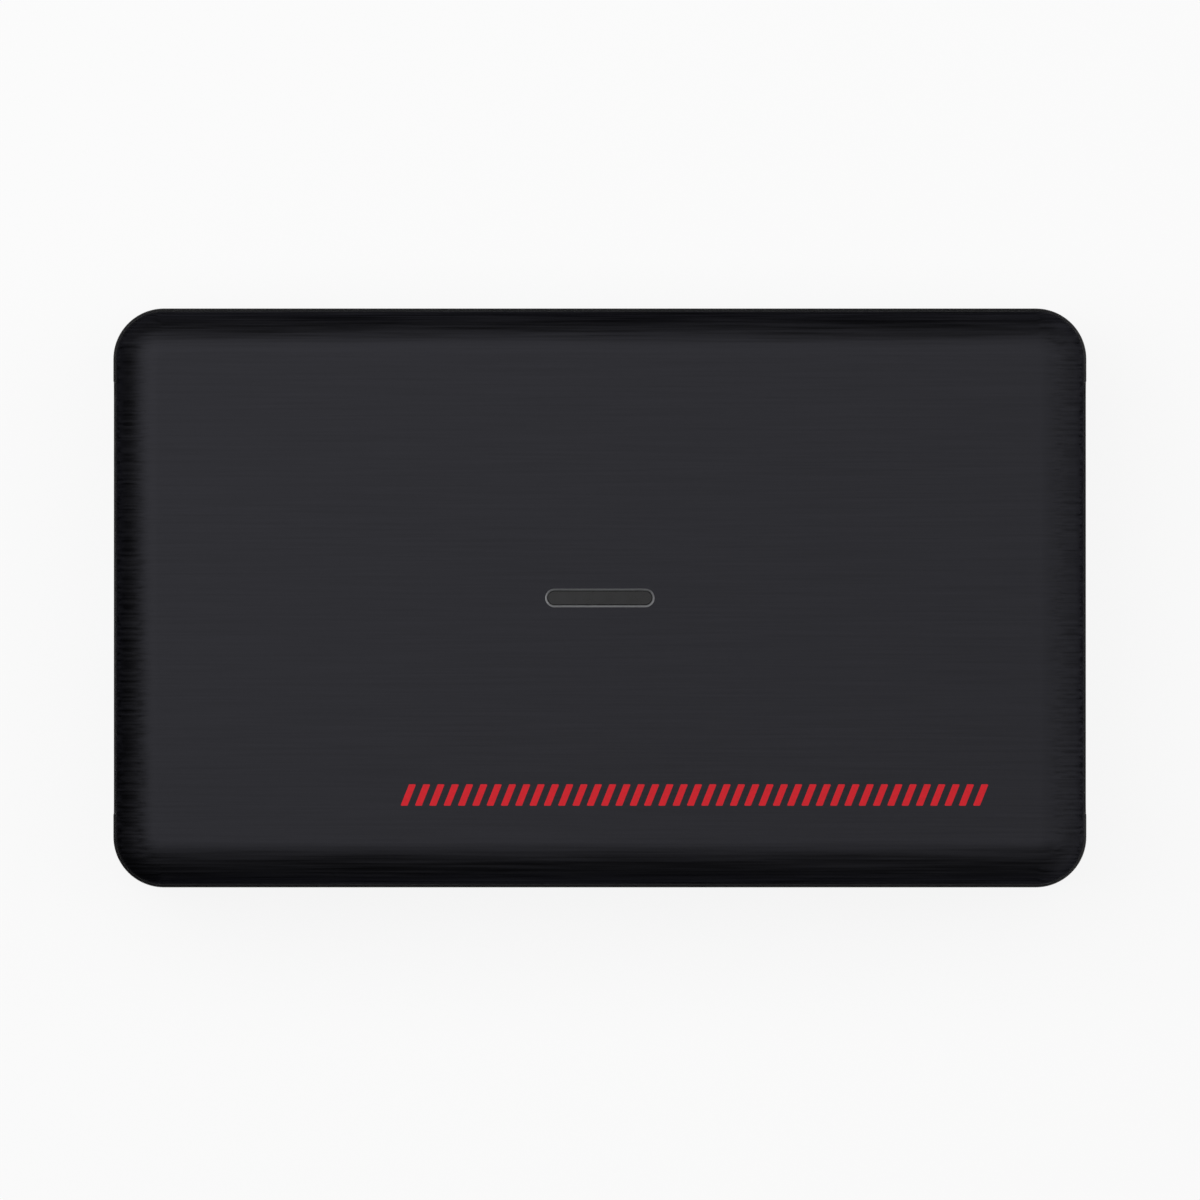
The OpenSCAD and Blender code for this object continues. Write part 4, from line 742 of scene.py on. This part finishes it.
# Printed stripes
# A plain row of slanted red stripes along the lid's lower right, in pad-printing ink that is cured on the metal.
STRIPE_X, STRIPE_Y, STRIPE_COUNT, STRIPE_PITCH = -20.4, -21.3, 41, 1.467
STRIPE_W, STRIPE_H, STRIPE_LEAN, STRIPE_R = 0.72, 2.2, 0.8, 0.1
stripes = add_box("stripes", (STRIPE_X, STRIPE_Y, LID_TOP), (STRIPE_X + STRIPE_W, STRIPE_Y + STRIPE_H, TOP_Z))
choose("edges", lambda e: runs_along(e, 2))
round_edges(STRIPE_R, segments=3)
choose("verts", lambda v: v.co.y > (STRIPE_Y + STRIPE_H / 2) * MM)
bpy.ops.transform.translate(value=(STRIPE_LEAN * MM, 0, 0))
close_up()
copy_to(stripes, *[(i * STRIPE_PITCH, 0, 0) for i in range(1, STRIPE_COUNT)])
# Pad-printing ink: a flat signal red, a touch thinner in places.
red_ink = grained_finish("Red epoxy ink, pad-printed", "#d01a26", "#de1e2c",
                         grain=0.5, rough=(0.55, 0.65), bump=0.002, Specular_IOR_Level=0.2)
stripes.data.materials.append(red_ink)
hand_over(stripes)

# Case screws
# Four cross-head screws of black-oxidised steel, driven up through the tray into the cover's posts.
HEAD_D, HEAD_Z, HEAD_TOP, HEAD_ROLL, SHANK_D, SHANK_TOP = 4.4, 1.7, 3.4, 0.5, 2.5, 13.4
CROSS_L, CROSS_W, CROSS_H = 2.5, 0.6, 0.9
screws = add_rod("screws", HEAD_D, (-POST_X, -POST_Y, HEAD_Z), (-POST_X, -POST_Y, HEAD_TOP))
choose("edges", lambda e: lies_at(e, 2, HEAD_Z))
round_edges(HEAD_ROLL, segments=4)
choose("faces", lambda f: lies_at(f, 2, HEAD_TOP))
bpy.ops.mesh.inset(thickness=(HEAD_D - SHANK_D) / 2 * MM)
bpy.ops.mesh.extrude_region_move(TRANSFORM_OT_translate={"value": (0, 0, (SHANK_TOP - HEAD_TOP) * MM)})
close_up()
for half_x, half_y in ((CROSS_L / 2, CROSS_W / 2), (CROSS_W / 2, CROSS_L / 2)):
    cross = add_box("cross", (-POST_X - half_x, -POST_Y - half_y, HEAD_Z - SPARE),
                    (-POST_X + half_x, -POST_Y + half_y, HEAD_Z + CROSS_H))
    close_up()
    combine(screws, cross, "DIFFERENCE")
to_corners(screws, POST_X, POST_Y)
# Black oxide: a dark grey metal, oily and a little uneven.
black_oxide = grained_finish("Black-oxidised steel", "#1e1f21", "#303134",
                             grain=0.3, rough=(0.35, 0.5), bump=0.003, Metallic=1)
screws.data.materials.append(black_oxide)
hand_over(screws, "case_screws")

# Floor
# The box lies on a plain table, painted matt white. The paint is shown a little brighter than it is lit, so that the
# picture's ground is white, and a part of its tone still comes from the light and keeps the shadow.
FLOOR_HALF = 4.0  # in metres
WHITE_SHARE = 0.88  # the share of plain white in what is seen of the paint
bpy.ops.object.select_all(action="DESELECT")
bpy.ops.mesh.primitive_plane_add(size=2 * FLOOR_HALF)
floor = bpy.context.object
floor.name = "floor"
table = bpy.data.materials.new("White paint, rolled")
table.use_nodes = True
tree = table.node_tree
paint = tree.nodes["Principled BSDF"]
paint.inputs["Base Color"].default_value = linear("#ececec")
paint.inputs["Roughness"].default_value = 0.9
paint.inputs["Specular IOR Level"].default_value = 0
seen = add_node(tree, "ShaderNodeLightPath").outputs
direct = add_node(tree, "ShaderNodeMath", {0: seen["Is Camera Ray"], 1: seen["Is Glossy Ray"]},
                  operation="MAXIMUM").outputs[0]
shown = add_node(tree, "ShaderNodeMath", {0: direct, 1: seen["Is Transmission Ray"]},
                 operation="MAXIMUM").outputs[0]
share = add_node(tree, "ShaderNodeMath", {0: shown, 1: WHITE_SHARE}, operation="MULTIPLY").outputs[0]
white = add_node(tree, "ShaderNodeEmission", {"Color": linear("#ffffff"), "Strength": 1}).outputs[0]
mixed = add_node(tree, "ShaderNodeMixShader", {0: share, 1: paint.outputs[0], 2: white}).outputs[0]
tree.links.new(mixed, tree.nodes["Material Output"].inputs["Surface"])
floor.data.materials.append(table)

# Lamps
# Two wide softboxes hang side by side over the table in a dim room: the left one is the brighter, so the lid's tone
# falls a little from left to right, and they hang towards the back, so the front edge turns dark first. A weak one
# stands upright on the right, and lifts the two corners there.
ROOM_LEVEL = 0.1
OVER_Z, OVER_Y = 0.405, (-0.1, 0.35)
KEY_X, KEY_LEVEL = (-0.62, -0.03), 2.1
FILL_X, FILL_LEVEL = (-0.03, 1.9), 1.18
SIDE_X, SIDE_Y, SIDE_Z, SIDE_LEVEL = 0.7, (-1.0, 1.0), (0.05, 0.39), 0.2
world = bpy.data.worlds.new("dim_room")
world.use_nodes = True
world.node_tree.nodes["Background"].inputs["Color"].default_value = (ROOM_LEVEL, ROOM_LEVEL, ROOM_LEVEL, 1)
bpy.context.scene.world = world


def hang_softbox(name, low, high, level, turn=0):
    """A softbox between two corners in metres that faces down, or is turned about Y. A level of 1 shows as white."""
    softbox = bpy.data.lights.new(name, "AREA")
    softbox.shape = "RECTANGLE"
    softbox.size = math.hypot(high[0] - low[0], high[2] - low[2])
    softbox.size_y = high[1] - low[1]
    softbox.energy = math.pi * level * softbox.size * softbox.size_y
    lamp = bpy.data.objects.new(name, softbox)
    lamp.location = [(a + b) / 2 for a, b in zip(low, high)]
    lamp.rotation_euler = (0, turn, 0)
    lamp.visible_camera = False
    bpy.context.scene.collection.objects.link(lamp)


hang_softbox("key_softbox", (KEY_X[0], OVER_Y[0], OVER_Z), (KEY_X[1], OVER_Y[1], OVER_Z), KEY_LEVEL)
hang_softbox("fill_softbox", (FILL_X[0], OVER_Y[0], OVER_Z), (FILL_X[1], OVER_Y[1], OVER_Z), FILL_LEVEL)
hang_softbox("side_softbox", (SIDE_X, SIDE_Y[0], SIDE_Z[0]), (SIDE_X, SIDE_Y[1], SIDE_Z[1]), SIDE_LEVEL,
             turn=math.pi / 2)

# Black cards
# Four cards covered in black felt stand around the box, as studios set them beside glossy things, and only
# reflections show them. They darken the rolled edge on three sides, most of all at the front left corner.
CARD_Y, CARD_X, CARD_HALF, CARD_RIGHT, CARD_T = 75.0, 95.0, 250.0, 70.0, 1.0
BACK_CARD_H, FRONT_CARD_H, LEFT_CARD_H, CORNER_CARD_H = 26.0, 21.0, 43.0, 70.0
CORNER_LEFT, CORNER_RIGHT, CORNER_BACK, CORNER_FRONT = -92.0, -25.0, 10.0, -105.0
# Felt: a deep even black that gives back hardly any light.
felt = bpy.data.materials.new("Black felt, pressed")
felt.use_nodes = True
nap = felt.node_tree.nodes["Principled BSDF"]
nap.inputs["Base Color"].default_value = linear("#0c0c0c")
nap.inputs["Specular IOR Level"].default_value = 0
for name, low, high, slant in (
        ("card_back", (-CARD_HALF, CARD_Y, 0), (CARD_RIGHT, CARD_Y + CARD_T, BACK_CARD_H), 0),
        ("card_front", (-CARD_HALF, -CARD_Y - CARD_T, 0), (CARD_RIGHT, -CARD_Y, FRONT_CARD_H), 0),
        ("card_left", (-CARD_X - CARD_T, -CARD_HALF, 0), (-CARD_X, CARD_HALF, LEFT_CARD_H), 0),
        ("card_corner", (CORNER_LEFT, CORNER_BACK - CARD_T, 0), (CORNER_RIGHT, CORNER_BACK, CORNER_CARD_H),
         CORNER_FRONT - CORNER_BACK)):
    card = add_box(name, low, high)
    choose("verts", lambda v: v.co.x > (low[0] + high[0]) / 2 * MM)
    bpy.ops.transform.translate(value=(0, slant * MM, 0))
    close_up()
    card.data.materials.append(felt)
    card.visible_camera = card.visible_diffuse = card.visible_shadow = card.visible_transmission = False

# Camera
# A long lens looks straight down from four metres, so that the sides of the box hardly show. It hangs a hair off the
# middle, as the photograph is framed.
CAMERA_LENS, SENSOR_W, CAMERA_FAR = 1200, 36, 6
CAMERA_PLACE = (0.000013, -0.000212, 4.1203)
long_lens = bpy.data.cameras.new("camera")
long_lens.lens, long_lens.sensor_width, long_lens.clip_end = CAMERA_LENS, SENSOR_W, CAMERA_FAR
camera = bpy.data.objects.new("camera", long_lens)
camera.location = CAMERA_PLACE
bpy.context.scene.collection.objects.link(camera)
bpy.context.scene.camera = camera
bpy.context.scene.view_settings.view_transform = "Standard"
